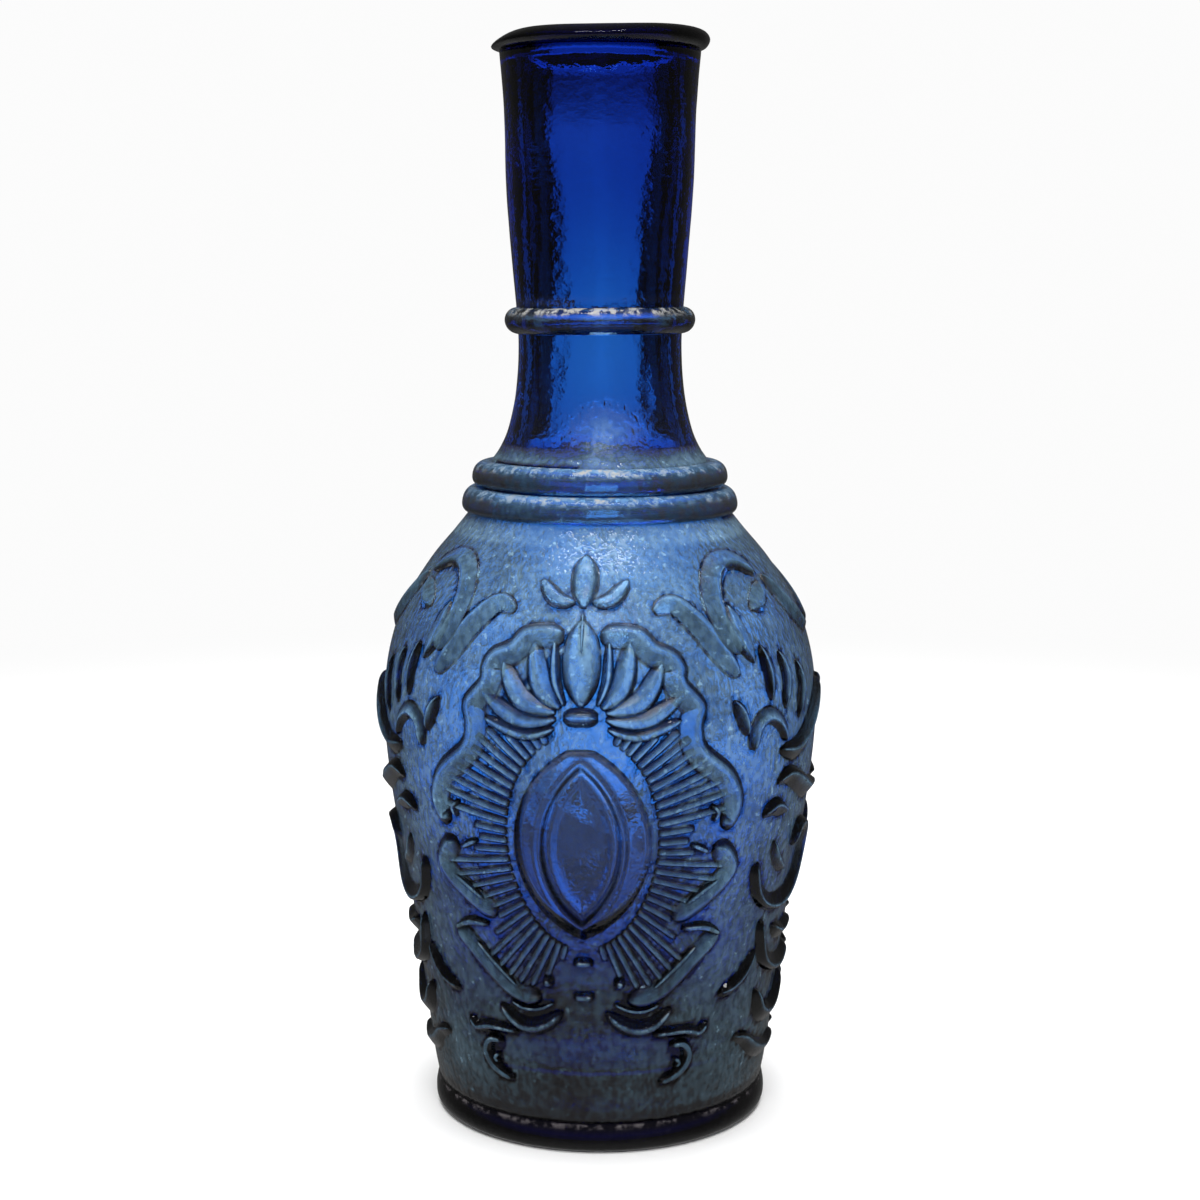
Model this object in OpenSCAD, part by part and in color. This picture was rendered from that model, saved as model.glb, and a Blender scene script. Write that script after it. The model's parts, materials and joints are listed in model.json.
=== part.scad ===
// Tall cobalt glass bottle with a raised ornament, in millimetres.
// The origin is the middle of the ring it stands on, +Z is up, and the front faces -Y.
// Glass wall, lip, rings, foot and each raised motif are separate solids that meet face to face.

/* [Whole bottle] */
// Height from the table to the top of the lip
total_h = 250; // [249:1:252]
// Thickness of the glass at the shoulder, where the blowing stretched it most
shoulder_wall = 2.6; // [2.2:0.1:3.2]
// Thickness of the glass low in the belly, above the base
low_wall = 5.4; // [4.5:0.1:6]

/* [Mouth and lip] */
// Radius of the straight cork seat in the mouth
cork_r = 17.5; // [16.5:0.1:18]
// Length of the straight cork seat
cork_seat_h = 18; // [12:1:20]
// Thickness of the laid-on lip
lip_h = 5; // [4:0.5:5]
// Outer radius of the laid-on lip
lip_r = 25.2; // [24:0.1:26]

/* [Rings on the neck and shoulder] */
// Height of the middle of the neck ring
neck_ring_z = 185; // [184:0.5:186]
// Radius of the round bead of the neck ring
neck_bead = 2.8; // [2.5:0.1:3.2]
// Radius of the round bead of the upper collar
upper_bead = 2.7; // [2.4:0.1:3]
// Radius of the round bead of the lower collar
lower_bead = 2.9; // [2.5:0.1:3]

/* [Foot] */
// Height of the foot ring
foot_h = 7; // [6:0.5:8]
// Widest radius of the foot ring
foot_r = 39.3; // [39:0.1:40]
// How far the base is pushed up inside the foot
kick_h = 10; // [6:1:12]

/* [Ornament] */
// How far a ridge stands out from the belly
ridge_h = 1.7; // [1:0.1:2.2]
// How far the fine rays stand out
ray_h = 0.9; // [0.5:0.1:1.4]
// Rays on each half of a medallion
rays_per_half = 24; // [16:1:28]
// Width of the medallion's frame
frame_w = 2.4; // [1.8:0.1:2.8]

/* [Hidden] */
$fn = 96;

cobalt = [0.10, 0.28, 0.62];
deep_cobalt = [0.03, 0.10, 0.42];
hazy_cobalt = [0.30, 0.48, 0.70];
near_black = [0.03, 0.04, 0.10];

shoulder_z = 141;
lower_seat_r = 28.5;
upper_seat_r = 26;
collar_split_z = 147;
neck_foot_z = 153;
neck_seat_r = 18.9;
lip_seat_z = total_h - lip_h;
ring_seat_half = neck_bead + 0.3;

// Height and outer radius of the belly, from the foot to the lower collar
BELLY = [
    [foot_h, 38.6], [15, 40], [30, 41.8], [45, 43.8], [60, 46.2], [75, 48.8], [90, 50.4],
    [100, 50.4], [110, 49], [120, 45.6], [130, 39.4], [137, 33.6], [shoulder_z, 30.4]
];
// Height and outer radius of the neck below and above its ring
NECK_LOW = [[neck_foot_z, 25.4], [156, 23], [161, 21], [170, 19.3], [neck_ring_z - ring_seat_half, neck_seat_r]];
NECK_HIGH = [[neck_ring_z + ring_seat_half, neck_seat_r], [200, 20.2], [215, 21.3], [232, 21.8], [lip_seat_z, 22.8]];
// Height and radius of the inside of the neck and shoulder, from the belly up to the cork seat
THROAT = [
    [131, 35.6], [137, 30.4], [145, 24.4], [153, 19.5], [162, 16.6], [172, 15.3], [185, 15],
    [205, 15.9], [lip_seat_z - cork_seat_h, cork_r]
];

// One coordinate of a smooth curve through four keys, at t between the middle two
function through(a, b, c, d, t) =
    0.5 * (2 * b + (c - a) * t + (2 * a - 5 * b + 4 * c - d) * t * t
    + (3 * b - a - 3 * c + d) * t * t * t);
// A smooth curve through a list of points, with n steps between neighbours
function smooth(k, n) = concat(
    [for (i = [0:len(k) - 2]) for (j = [0:n - 1])
        through(k[max(i - 1, 0)], k[i], k[i + 1], k[min(i + 2, len(k) - 1)], j / n)],
    [k[len(k) - 1]]);
function swap(k) = [for (p = k) [p[1], p[0]]];
function backwards(k) = [for (i = [len(k) - 1:-1:0]) k[i]];

BELLY_LINE = smooth(BELLY, 2);
// The wall thins from the base up to the widest part of the belly
function wall_at(z) = lookup(z, [[25, low_wall], [55, (low_wall + shoulder_wall) / 2], [90, shoulder_wall]]);
function belly_r(z) = lookup(z, BELLY_LINE);

// A point of the ornament: degrees round the belly and height become millimetres as seen face on
function at(p) = [belly_r(p[1]) * sin(p[0]), p[1]];
function along(k, n) = [for (p = smooth(k, n)) at(p)];
// The direction of a path at its point i, as a unit vector
function heading(k, i) =
    let (d = k[min(i + 1, len(k) - 1)] - k[max(i - 1, 0)]) d / norm(d);
function beside(k, i, w) = k[i] + w * [-heading(k, i)[1], heading(k, i)[0]];

// Points of a round end, from one turn away from the heading to another
function round_end(c, d, w, turns) =
    [for (a = turns) c + w / 2 * [d[0] * cos(a) - d[1] * sin(a), d[0] * sin(a) + d[1] * cos(a)]];

// A ribbon of even width with round ends, drawn along a smooth path
module ribbon(keys, w, n = 2) {
    k = along(keys, n);
    last = len(k) - 1;
    polygon(concat(
        [for (i = [0:last]) beside(k, i, w / 2)],
        round_end(k[last], heading(k, last), w, [50, 0, -50]),
        [for (i = [last:-1:0]) beside(k, i, -w / 2)],
        round_end(k[0], heading(k, 0), w, [-130, 180, 130])));
}

// A leaf: a ribbon that swells in the middle and narrows to both ends
function leaf_w(t, w) = w * (0.22 + 0.78 * sin(180 * t));
module leaf(keys, w, n = 3) {
    k = along(keys, n);
    last = len(k) - 1;
    polygon(concat(
        [for (i = [0:last]) beside(k, i, leaf_w(i / last, w) / 2)],
        [for (i = [last:-1:0]) beside(k, i, -leaf_w(i / last, w) / 2)]));
}

// An almond, pointed at the top and bottom, where two circles cross
module almond(half_w, half_h) {
    r = (half_h * half_h + half_w * half_w) / (2 * half_w);
    intersection() {
        translate([half_w - r, 0]) circle(r = r, $fn = 128);
        translate([r - half_w, 0]) circle(r = r, $fn = 128);
    }
}

module both_sides() {
    children();
    mirror([1, 0, 0]) children();
}

// The skin of the belly between two distances from the glass wall
module belly_skin(from, to) {
    inner = swap(BELLY_LINE);
    rotate_extrude() polygon(concat(
        [for (p = inner) p + [to, 0]],
        [for (p = backwards(inner)) p + [from, 0]]));
}

// A flat drawing pushed against the front of the belly and kept where it meets the skin
module raised(from, to) {
    intersection() {
        rotate([90, 0, 0]) linear_extrude(height = 60) children();
        belly_skin(from, to);
    }
}

// A round bead that wraps a straight seat of the neck or shoulder
module bead(seat_r, bead_r, out, z) {
    rotate_extrude() difference() {
        union() {
            translate([seat_r + out, z]) circle(r = bead_r, $fn = 48);
            translate([seat_r, z - bead_r]) square([out, 2 * bead_r]);
        }
        translate([0, z - bead_r - 1]) square([seat_r, 2 * bead_r + 2]);
    }
}

// ---- Glass wall, lip, rings and foot ----

// Outline of the solid glass, from the foot seat to the lip seat
module vessel_outline() {
    polygon(concat(
        [[0, foot_h]],
        swap(BELLY_LINE),
        [[lower_seat_r, shoulder_z], [lower_seat_r, collar_split_z], [upper_seat_r, collar_split_z],
         [upper_seat_r, neck_foot_z]],
        swap(smooth(NECK_LOW, 3)),
        swap(smooth(NECK_HIGH, 3)),
        [[0, lip_seat_z]]));
}

// Outline of the room inside, which follows the belly at the wall's own thickness
module room_outline() {
    floor_z = foot_h + kick_h + 4;
    belly_inside = [for (p = BELLY_LINE) if (p[0] > floor_z + 4 && p[0] < 128) [p[1] - wall_at(p[0]), p[0]]];
    polygon(concat(
        [[0, floor_z + 3], [16, floor_z + 1], [27, floor_z - 2.5], [32, floor_z - 4], [34.6, floor_z - 1]],
        belly_inside,
        swap(smooth(THROAT, 2)),
        [[cork_r, lip_seat_z + 1], [0, lip_seat_z + 1]]));
}

// The push-up in the base, a shallow dome seen from below
module kick_outline() {
    dome_r = (31 * 31 + kick_h * kick_h) / (2 * kick_h);
    intersection() {
        translate([0, foot_h + kick_h - dome_r]) circle(r = dome_r, $fn = 128);
        translate([0, foot_h]) square([31, kick_h + 1]);
    }
}

module blown_vessel() {
    color(cobalt) rotate_extrude() difference() {
        vessel_outline();
        room_outline();
        kick_outline();
    }
}

module applied_lip() {
    edge_r = lip_h / 2;
    hole_r = cork_r + 0.5;
    color(near_black) translate([0, 0, lip_seat_z]) rotate_extrude() union() {
        translate([lip_r - edge_r, edge_r]) circle(r = edge_r, $fn = 48);
        translate([hole_r + 1.5, 0]) square([lip_r - edge_r - hole_r - 1.5, lip_h]);
        translate([hole_r, 0]) square([1.5, lip_h - 1.5]);
        translate([hole_r + 1.5, lip_h - 1.5]) circle(r = 1.5, $fn = 32);
    }
}

module neck_ring() {
    color(deep_cobalt) bead(neck_seat_r, neck_bead, 0.2, neck_ring_z);
}

module upper_collar() {
    color(hazy_cobalt) bead(upper_seat_r, upper_bead, 0.6, neck_foot_z - upper_bead - 0.3);
}

module lower_collar() {
    color(hazy_cobalt) bead(lower_seat_r, lower_bead, 0.6, shoulder_z + lower_bead + 0.1);
}

module foot_ring() {
    inner_r = 31;
    seat_r = 38.6;
    edge_r = 2.6;
    color(near_black) rotate_extrude() union() {
        translate([foot_r - edge_r, edge_r]) circle(r = edge_r, $fn = 48);
        translate([inner_r + edge_r, edge_r]) circle(r = edge_r, $fn = 48);
        translate([inner_r + edge_r, 0]) square([foot_r - inner_r - 2 * edge_r, foot_h]);
        translate([inner_r, edge_r]) square([seat_r - inner_r, foot_h - edge_r]);
    }
}

// ---- Medallion, drawn for one half as degrees round the belly and height ----

jewel_z = 74;
FRAME_TOP = [
    [5.5, 120.6], [15, 120], [19, 117], [24, 115], [26, 112], [26, 109], [30.5, 104],
    [29.5, 99], [31, 94.5], [39, 88.5], [42.5, 82], [40.5, 76.8], [37, 76]
];
FRAME_MIDDLE = [[36, 72.5], [40, 71.5], [43.5, 67], [41.5, 63], [33.5, 58], [26, 54.5]];
FRAME_HOOK = [[29, 52.8], [35, 52.8], [39.5, 52]];
FRAME_LOW = [[41, 49.6], [33, 44], [24.5, 38], [18, 35.8], [12.5, 36]];
// The field inside the frame, where the rays lie
FIELD = [
    [0, 98], [12, 97], [22, 98.5], [27.5, 98], [28.5, 94.5], [36.5, 88], [40, 82], [38.5, 78.5],
    [34, 77], [32, 74.5], [33.5, 70.5], [38.5, 69.5], [41, 66.5], [39.5, 64.5], [32, 60], [23.5, 56],
    [26, 50.5], [35.5, 49.5], [31, 45.5], [22, 39.5], [16, 38.3], [3, 49], [0, 49]
];

module medallion_frame() {
    raised(0, ridge_h) both_sides() {
        ribbon(FRAME_TOP, frame_w);
        ribbon(FRAME_MIDDLE, frame_w);
        ribbon(FRAME_HOOK, frame_w * 0.7);
        ribbon(FRAME_LOW, frame_w);
    }
}

// Egg-shaped field of the jewel: an almond with a rounded top
module jewel_field(grow = 0) {
    intersection() {
        almond(16 + grow, 22.6 + grow);
        translate([0, -2.5]) circle(r = 24 + grow, $fn = 128);
    }
}

module jewel() {
    terrace = ridge_h * 0.6;
    raised(0, terrace) translate([0, jewel_z]) jewel_field();
    raised(terrace, ridge_h) translate([0, jewel_z]) difference() {
        almond(10.4, 19.5);
        almond(9, 17.2);
    }
    raised(terrace, ridge_h + 0.3) translate([0, jewel_z]) almond(6.4, 14.6);
}

// One ray between the jewel and the frame, at an angle round the jewel's middle
module ray(angle) {
    start = [18.8 * cos(angle), jewel_z + 23.6 * sin(angle)];
    end = [46 * cos(angle), jewel_z + 42 * sin(angle)];
    k = [at(start), at(end)];
    polygon([beside(k, 0, 0.55), beside(k, 1, 0.95), beside(k, 1, -0.95), beside(k, 0, -0.55)]);
}

module rays() {
    lowest = -78;
    highest = 66;
    raised(0, ray_h) both_sides() difference() {
        intersection() {
            for (i = [0:rays_per_half - 1])
                ray(lowest + (highest - lowest) * i / (rays_per_half - 1));
            polygon([for (p = FIELD) at(p)]);
        }
        translate([0, jewel_z]) jewel_field(1.2);
    }
}

module palmette() {
    raised(0, ridge_h * 0.8) {
        leaf([[0, 105], [0, 113], [0, 121.5]], 7.5);
        both_sides() {
            leaf([[4, 105.2], [6.4, 110], [6.8, 117]], 1.6);
            leaf([[6, 104.8], [10.5, 109.5], [12, 117.5]], 3.4);
            leaf([[8, 103.8], [15.5, 106.4], [20, 112.5]], 3.4);
            leaf([[7.5, 100.8], [16, 101], [25.5, 105]], 3.4);
        }
        ribbon([[-3, 102.2], [0, 102.2], [3, 102.2]], 3.6, 1);
    }
}

module finial() {
    raised(0, ridge_h * 0.8) {
        leaf([[0, 123], [0, 129], [0, 134.5]], 6);
        both_sides() leaf([[4, 126], [9, 126.8], [14, 130]], 2.8);
    }
}

module studs() {
    raised(0, ridge_h) {
        ribbon([[-2, 46.3], [2, 46.3]], 2.4, 1);
        ribbon([[-2, 38.2], [2, 38.2]], 2.4, 1);
        both_sides() translate(at([10, 41.5])) circle(r = 1.6, $fn = 32);
    }
}

// The curls under the medallion, the small leaves near the foot and the stem beside the finial
module curls() {
    raised(0, ridge_h) both_sides() {
        leaf([[6.5, 34], [11, 31.4], [16, 30], [21, 30.8], [26.5, 34.2]], 3, 2);
        ribbon([[39, 29], [36, 27.6], [30, 28.4], [22, 28.4]], 1.8);
        ribbon([[27, 25.6], [31, 25.2], [32.5, 22], [30, 18.8], [24, 16.6]], 2);
        ribbon([[24, 124.4], [29, 124], [34, 119], [38.5, 113], [42.5, 109.5]], 2);
    }
}

// ---- Scrollwork between the two medallions, drawn for one half of a side ----

// Degrees are counted from the mould seam, so they run from the seam towards the medallion
ARCH = [[47, 115.5], [50, 120], [50, 125], [47, 129.5], [41, 132.4], [33, 132.6], [25, 130]];
BRANCH = [[22, 127.5], [17, 122.5], [9, 117], [4, 115]];
CURL = [[43, 93.5], [41, 97.5], [37, 99.5], [32.5, 97], [30, 93]];
LONG_LEAF = [[33, 90.5], [26, 89.8], [19, 92], [11, 97], [4, 103]];
SHORT_LEAF = [[33, 83.5], [28, 84.5], [21, 82], [13, 79], [4, 79]];
VOLUTE = [[38, 65], [35, 58.5], [29, 54.8], [20, 54], [11, 57], [6, 62.5], [8, 68.5], [15, 70], [18, 66]];
LOWER_CURVE = [[31, 50.5], [29, 45.5], [26, 41], [19, 38], [10, 37.5], [3, 39.5]];
LOWER_OVAL = [[28, 33], [24, 27.5], [16, 25.5], [7, 28], [3, 32.5]];
LOWEST_LEAF = [[39, 23.5], [32, 22], [25, 18.5], [15, 16.5], [5, 18]];
SIDE_LEAF = [[47, 35.6], [42, 36.2], [37, 38.5], [32, 43]];

module scrollwork_half() {
    ribbon(ARCH, 2.4);
    leaf(BRANCH, 4);
    leaf([[27, 127.4], [31, 124.6], [36, 123]], 3);
    leaf([[45, 123.5], [43.5, 118], [41.5, 112.5]], 3);
    leaf([[38, 114], [36, 109], [36.5, 103.5]], 3);
    leaf([[30, 112], [28, 107], [30.5, 101]], 3.2);
    leaf([[22, 109], [20, 104], [23.5, 98]], 3.2);
    ribbon(CURL, 2.2);
    leaf(LONG_LEAF, 4.6, 2);
    leaf(SHORT_LEAF, 4, 2);
    leaf([[35, 75.6], [31, 78], [27.5, 75.6]], 2.8);
    ribbon(VOLUTE, 2.2);
    ribbon(LOWER_CURVE, 2.2);
    leaf([[23, 47], [15, 44.5], [6, 46.5]], 3.2);
    leaf(LOWER_OVAL, 4.2, 2);
    leaf(LOWEST_LEAF, 3.8, 2);
    leaf(SIDE_LEAF, 2.8, 2);
}

module scrollwork() {
    raised(0, ridge_h) both_sides() scrollwork_half();
}

module front_frame() { color(hazy_cobalt) medallion_frame(); }
module front_palmette() { color(hazy_cobalt) palmette(); }
module front_finial() { color(hazy_cobalt) finial(); }
module front_jewel() { color(cobalt) jewel(); }
module front_rays() { color(hazy_cobalt) rays(); }
module front_studs() { color(deep_cobalt) studs(); }
module front_curls() { color(deep_cobalt) curls(); }

module rear() { rotate([0, 0, 180]) children(); }
module rear_frame() { rear() front_frame(); }
module rear_palmette() { rear() front_palmette(); }
module rear_finial() { rear() front_finial(); }
module rear_jewel() { rear() front_jewel(); }
module rear_rays() { rear() front_rays(); }
module rear_studs() { rear() front_studs(); }
module rear_curls() { rear() front_curls(); }

module right_scrollwork() { color(hazy_cobalt) rotate([0, 0, 90]) scrollwork(); }
module left_scrollwork() { color(hazy_cobalt) rotate([0, 0, -90]) scrollwork(); }

blown_vessel();
applied_lip();
neck_ring();
upper_collar();
lower_collar();
foot_ring();
front_frame();
front_palmette();
front_finial();
front_jewel();
front_rays();
front_studs();
front_curls();
rear_frame();
rear_palmette();
rear_finial();
rear_jewel();
rear_rays();
rear_studs();
rear_curls();
left_scrollwork();
right_scrollwork();
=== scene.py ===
# %% [markdown]
# # A cobalt glass bottle with a moulded ornament
# The bottle was blown into a mould, so its belly carries a medallion on the front, another on
# the rear and scrollwork between them. The lip, the neck ring, the two collars and the foot are
# heavier rings of the same glass. Every piece here is a closed surface worked out with numpy in
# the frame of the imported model, and glass is one shader with a real absorption inside.

# %% Load the fixed frame
import json
import bpy
import numpy as np
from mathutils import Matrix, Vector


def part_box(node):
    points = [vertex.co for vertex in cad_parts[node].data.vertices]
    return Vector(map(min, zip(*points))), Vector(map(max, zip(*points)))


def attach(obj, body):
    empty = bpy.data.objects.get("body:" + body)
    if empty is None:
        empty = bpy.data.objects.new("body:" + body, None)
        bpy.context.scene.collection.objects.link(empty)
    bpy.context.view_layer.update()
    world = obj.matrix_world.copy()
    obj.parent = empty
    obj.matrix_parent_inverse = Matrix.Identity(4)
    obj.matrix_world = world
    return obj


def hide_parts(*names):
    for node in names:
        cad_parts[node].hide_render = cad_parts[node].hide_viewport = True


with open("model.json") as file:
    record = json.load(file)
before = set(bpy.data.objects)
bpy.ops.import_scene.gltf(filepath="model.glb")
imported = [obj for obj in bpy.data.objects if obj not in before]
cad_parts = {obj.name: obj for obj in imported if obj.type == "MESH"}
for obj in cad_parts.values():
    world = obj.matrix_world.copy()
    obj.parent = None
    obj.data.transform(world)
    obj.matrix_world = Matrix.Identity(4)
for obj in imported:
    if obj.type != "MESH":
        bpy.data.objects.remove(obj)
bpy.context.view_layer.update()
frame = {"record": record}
MM = 0.001

# %% [markdown]
# ## The bottle's outline
# A turned or blown form is its radius against its height. It could be drawn as a curve and spun
# by a Screw modifier. A formula was chosen because the ornament, the rings and the film all have
# to know where the wall is. A few heights and radii, joined by a smooth curve, give the belly,
# and a second list gives the neck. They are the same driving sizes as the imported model's, so the
# looks sit exactly on the frame.

# %% Outline of the outside
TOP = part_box("applied_lip")[1].z / MM
LIP_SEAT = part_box("applied_lip")[0].z / MM
FOOT_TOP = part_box("foot_ring")[1].z / MM

BELLY = [(FOOT_TOP, 38.6), (15, 40), (30, 41.8), (45, 43.8), (60, 46.2), (75, 48.8), (90, 50.4),
         (100, 50.4), (110, 49), (120, 45.6), (130, 39.4), (137, 33.6), (141, 30.4)]
NECK = [(141, 30.2), (147, 27.6), (152, 25.6), (156, 23), (161, 21), (170, 19.3), (182, 18.8),
        (200, 20.2), (215, 21.3), (232, 21.8), (LIP_SEAT, 22.8)]


def smooth(keys, steps):
    """Catmull-Rom curve through the keys, with the given number of steps between neighbours."""
    k = np.asarray(keys, float)
    k = np.vstack([k[:1], k, k[-1:]])
    t = np.linspace(0, 1, steps, endpoint=False)[None, :, None]
    a, b, c, d = (k[i:len(k) - 3 + i][:, None, :] for i in range(4))
    mid = 0.5 * (2 * b + (c - a) * t + (2 * a - 5 * b + 4 * c - d) * t ** 2
                 + (3 * b - a - 3 * c + d) * t ** 3)
    return np.vstack([mid.reshape(-1, k.shape[1]), k[-1:]])


OUTLINE = np.vstack([smooth(BELLY, 12)[:-1], smooth(NECK, 12)])
OUTLINE = OUTLINE[np.argsort(OUTLINE[:, 0], kind="stable")]


def wall_radius(height):
    """Radius of the bare outside wall at a height, in millimetres."""
    return np.interp(height, OUTLINE[:, 0], OUTLINE[:, 1])


def wall_slope(height, reach=0.6):
    """Change of that radius for each millimetre of height."""
    return (wall_radius(height + reach) - wall_radius(height - reach)) / (2 * reach)


print("belly radius at 95 mm:", round(float(wall_radius(95)), 2))

# %% [markdown]
# ## Uneven glass
# Hand-blown glass is never quite round: the neck is rippled where it cooled against the iron
# mould and the belly sags a little. A Displace modifier with a noise could do it, but then the
# rings would no longer fit the wall. A few sine waves round and up the bottle, with different
# pitches, give every piece the same unevenness without any random draw.

# %% Ripples
MEAN_RADIUS = 30
SAG, SAG_PITCH = 0.16, 60
RIPPLES = ((0.03, 9, 2.1), (0.015, 5, 4.4))
NECK_FROM, NECK_BLEND = 150, 12


def growing(value, start, width):
    """0 up to start, 1 from start + width on, and a straight rise between."""
    return np.clip((value - start) / width, 0, 1)


def fading(value, start, width):
    """0 from start on, 1 up to start - width, and a straight fall between."""
    return np.clip((start - value) / width, 0, 1)


def hump(value, middle, width):
    """Bell curve: 1 in the middle, and about a third one width away from it."""
    return np.exp(-((value - middle) / width) ** 2)


def ripple(turn, height, pitch, seed):
    """Sum of five waves of about one pitch in mm, in directions set by the seed; runs -1 to 1."""
    total = 0
    for i in range(5):
        angle = seed + 1.3 * i
        whole = 2 * np.pi * MEAN_RADIUS / pitch
        rounds = max(1, round(whole * abs(np.cos(angle)) * (0.7 + 0.15 * i)))
        rise = 2 * np.pi / pitch * np.sin(angle) * (1.2 - 0.12 * i)
        total = total + np.sin(rounds * turn + rise * height + seed * (i + 1))
    return total / 5


def unevenness(turn, height):
    """Outward bulge of the outside wall in mm: slow sag everywhere, small ripples on the neck."""
    on_neck = growing(height, NECK_FROM, NECK_BLEND)
    sag = SAG * ripple(turn, height, SAG_PITCH, 0.7)
    rippled = sum(size * ripple(turn, height, pitch, seed) for size, pitch, seed in RIPPLES)
    return sag * (0.4 + 0.6 * on_neck) + rippled * on_neck


def on_wall(turn_deg, height, lift):
    """Point at an angle from the front, a height, and a distance straight out of the wall.

    The front is -Y, and angles grow towards +X. Returns metres."""
    turn = np.radians(turn_deg)
    slope = wall_slope(height)
    out = 1 / np.sqrt(1 + slope ** 2)
    lift = lift + unevenness(turn, height)
    r = wall_radius(height) + lift * out
    z = height - lift * out * slope
    return np.stack([r * np.sin(turn), -r * np.cos(turn), z], -1) * MM


def lift_of(points):
    """How far points in mm lie outside the uneven wall: their radius less the wall's there."""
    turn, height = np.arctan2(points[:, 0], -points[:, 1]), points[:, 2]
    return np.hypot(points[:, 0], points[:, 1]) - wall_radius(height) - unevenness(turn, height)


# %% [markdown]
# ## Where the film, the residue and the painted light lie
# Years in the ground leave a pale film on the outside only. It is thickest where the glass faces up,
# on the shoulder and the collars, and crumbly residue fills the corners at the foot of the ornament.
# The neck stays clear. Light is painted in as well: the film carries painted highlights on crests
# and collar tops and painted sheen and shade round the sides of the belly, the residue carries
# painted glints on the ring tops and low crests, and the steep sides of each ridge, which turn the
# light away, are painted almost black as shade. All this could be painted by hand. Here each mesh
# carries three numbers on its points, film, residue and shade, worked out from its own shape, so
# they follow every ridge and hold in every view.

# %% Film, residue and painted light
# Heights in mm, and the cover at each
FILM_BY_HEIGHT = (
    (0, 20, 45, 62, 75, 88, 100, 125, 139, 141, 154, 157, 183, 187, 191, 250),
    (0.04, 0.08, 0.09, 0.11, 0.15, 0.22, 0.26, 0.26, 0.24, 0.26, 0.20, 0.01, 0, 0.05, 0, 0))
RESIDUE_BY_HEIGHT = (
    (0, 8, 12, 20, 45, 70, 120, 150, 157, 183, 187, 191, 250),
    (0.0, 0.45, 0.1, 0.25, 0.35, 0.25, 0.4, 0.5, 0.0, 0.0, 0.35, 0.0, 0.0))
# Factor on the film towards the sides of the belly: above 1 low down, a painted sheen where the wall
# is seen at a slant, and below 1 on the shoulder, a painted shade
SIDE_SHEEN_AND_SHADE_BY_HEIGHT = ((70, 95, 115), (2.1, 1.15, 0.5))
# Share of cream crumbs on the crests by height in mm; they stand for residue and for painted glints
CREST_CRUMBS_AND_GLINTS_BY_HEIGHT = ((15, 48, 62), (1, 1, 0))
# Heights in mm that bound each part of the outside
BELLY_BAND, CREST_BAND, COLLAR_BAND, NECK_RING_BAND = (10, 137), (14, 137), (139, 156), (182, 192)
# Lifts in mm: film starts above the skin, ridges stand proud, and crests are high
WALL_SKIN, RAISED_SKIN, PROUD, HIGH, BURIED = -0.12, 0.02, 0.04, 0.3, -0.15
# Half width in degrees of the front and rear, where the film has its full cover and the painted
# highlights on the rings are brightest
FRONT_DEG = 34
# The patch on the neck: cover, middle and half width in degrees, middle and half width in mm
PATCH, PATCH_TURN, PATCH_DEG, PATCH_Z, PATCH_MM = 0.24, 7, 15, 160, 4.5


def crests(mesh, points, normals):
    """How sharply the surface bends outwards at each point, in 1/mm: the mean over its edges of
    the change of the normal along the edge divided by the edge's length."""
    ends = np.empty(len(mesh.edges) * 2, np.int32)
    mesh.edges.foreach_get("vertices", ends)
    a, b = ends.reshape(-1, 2).T
    along = points[b] - points[a]
    squared = np.maximum(np.sum(along ** 2, axis=1), 1e-4)
    bend = np.sum((normals[b] - normals[a]) * along, axis=1) / squared
    n = len(points)
    total = np.bincount(a, bend, n) + np.bincount(b, bend, n)
    return total / np.maximum(np.bincount(a, minlength=n) + np.bincount(b, minlength=n), 1)


def within(height, band):
    """True where a height lies between the two of the band."""
    return (height > band[0]) * (height < band[1])


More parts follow.
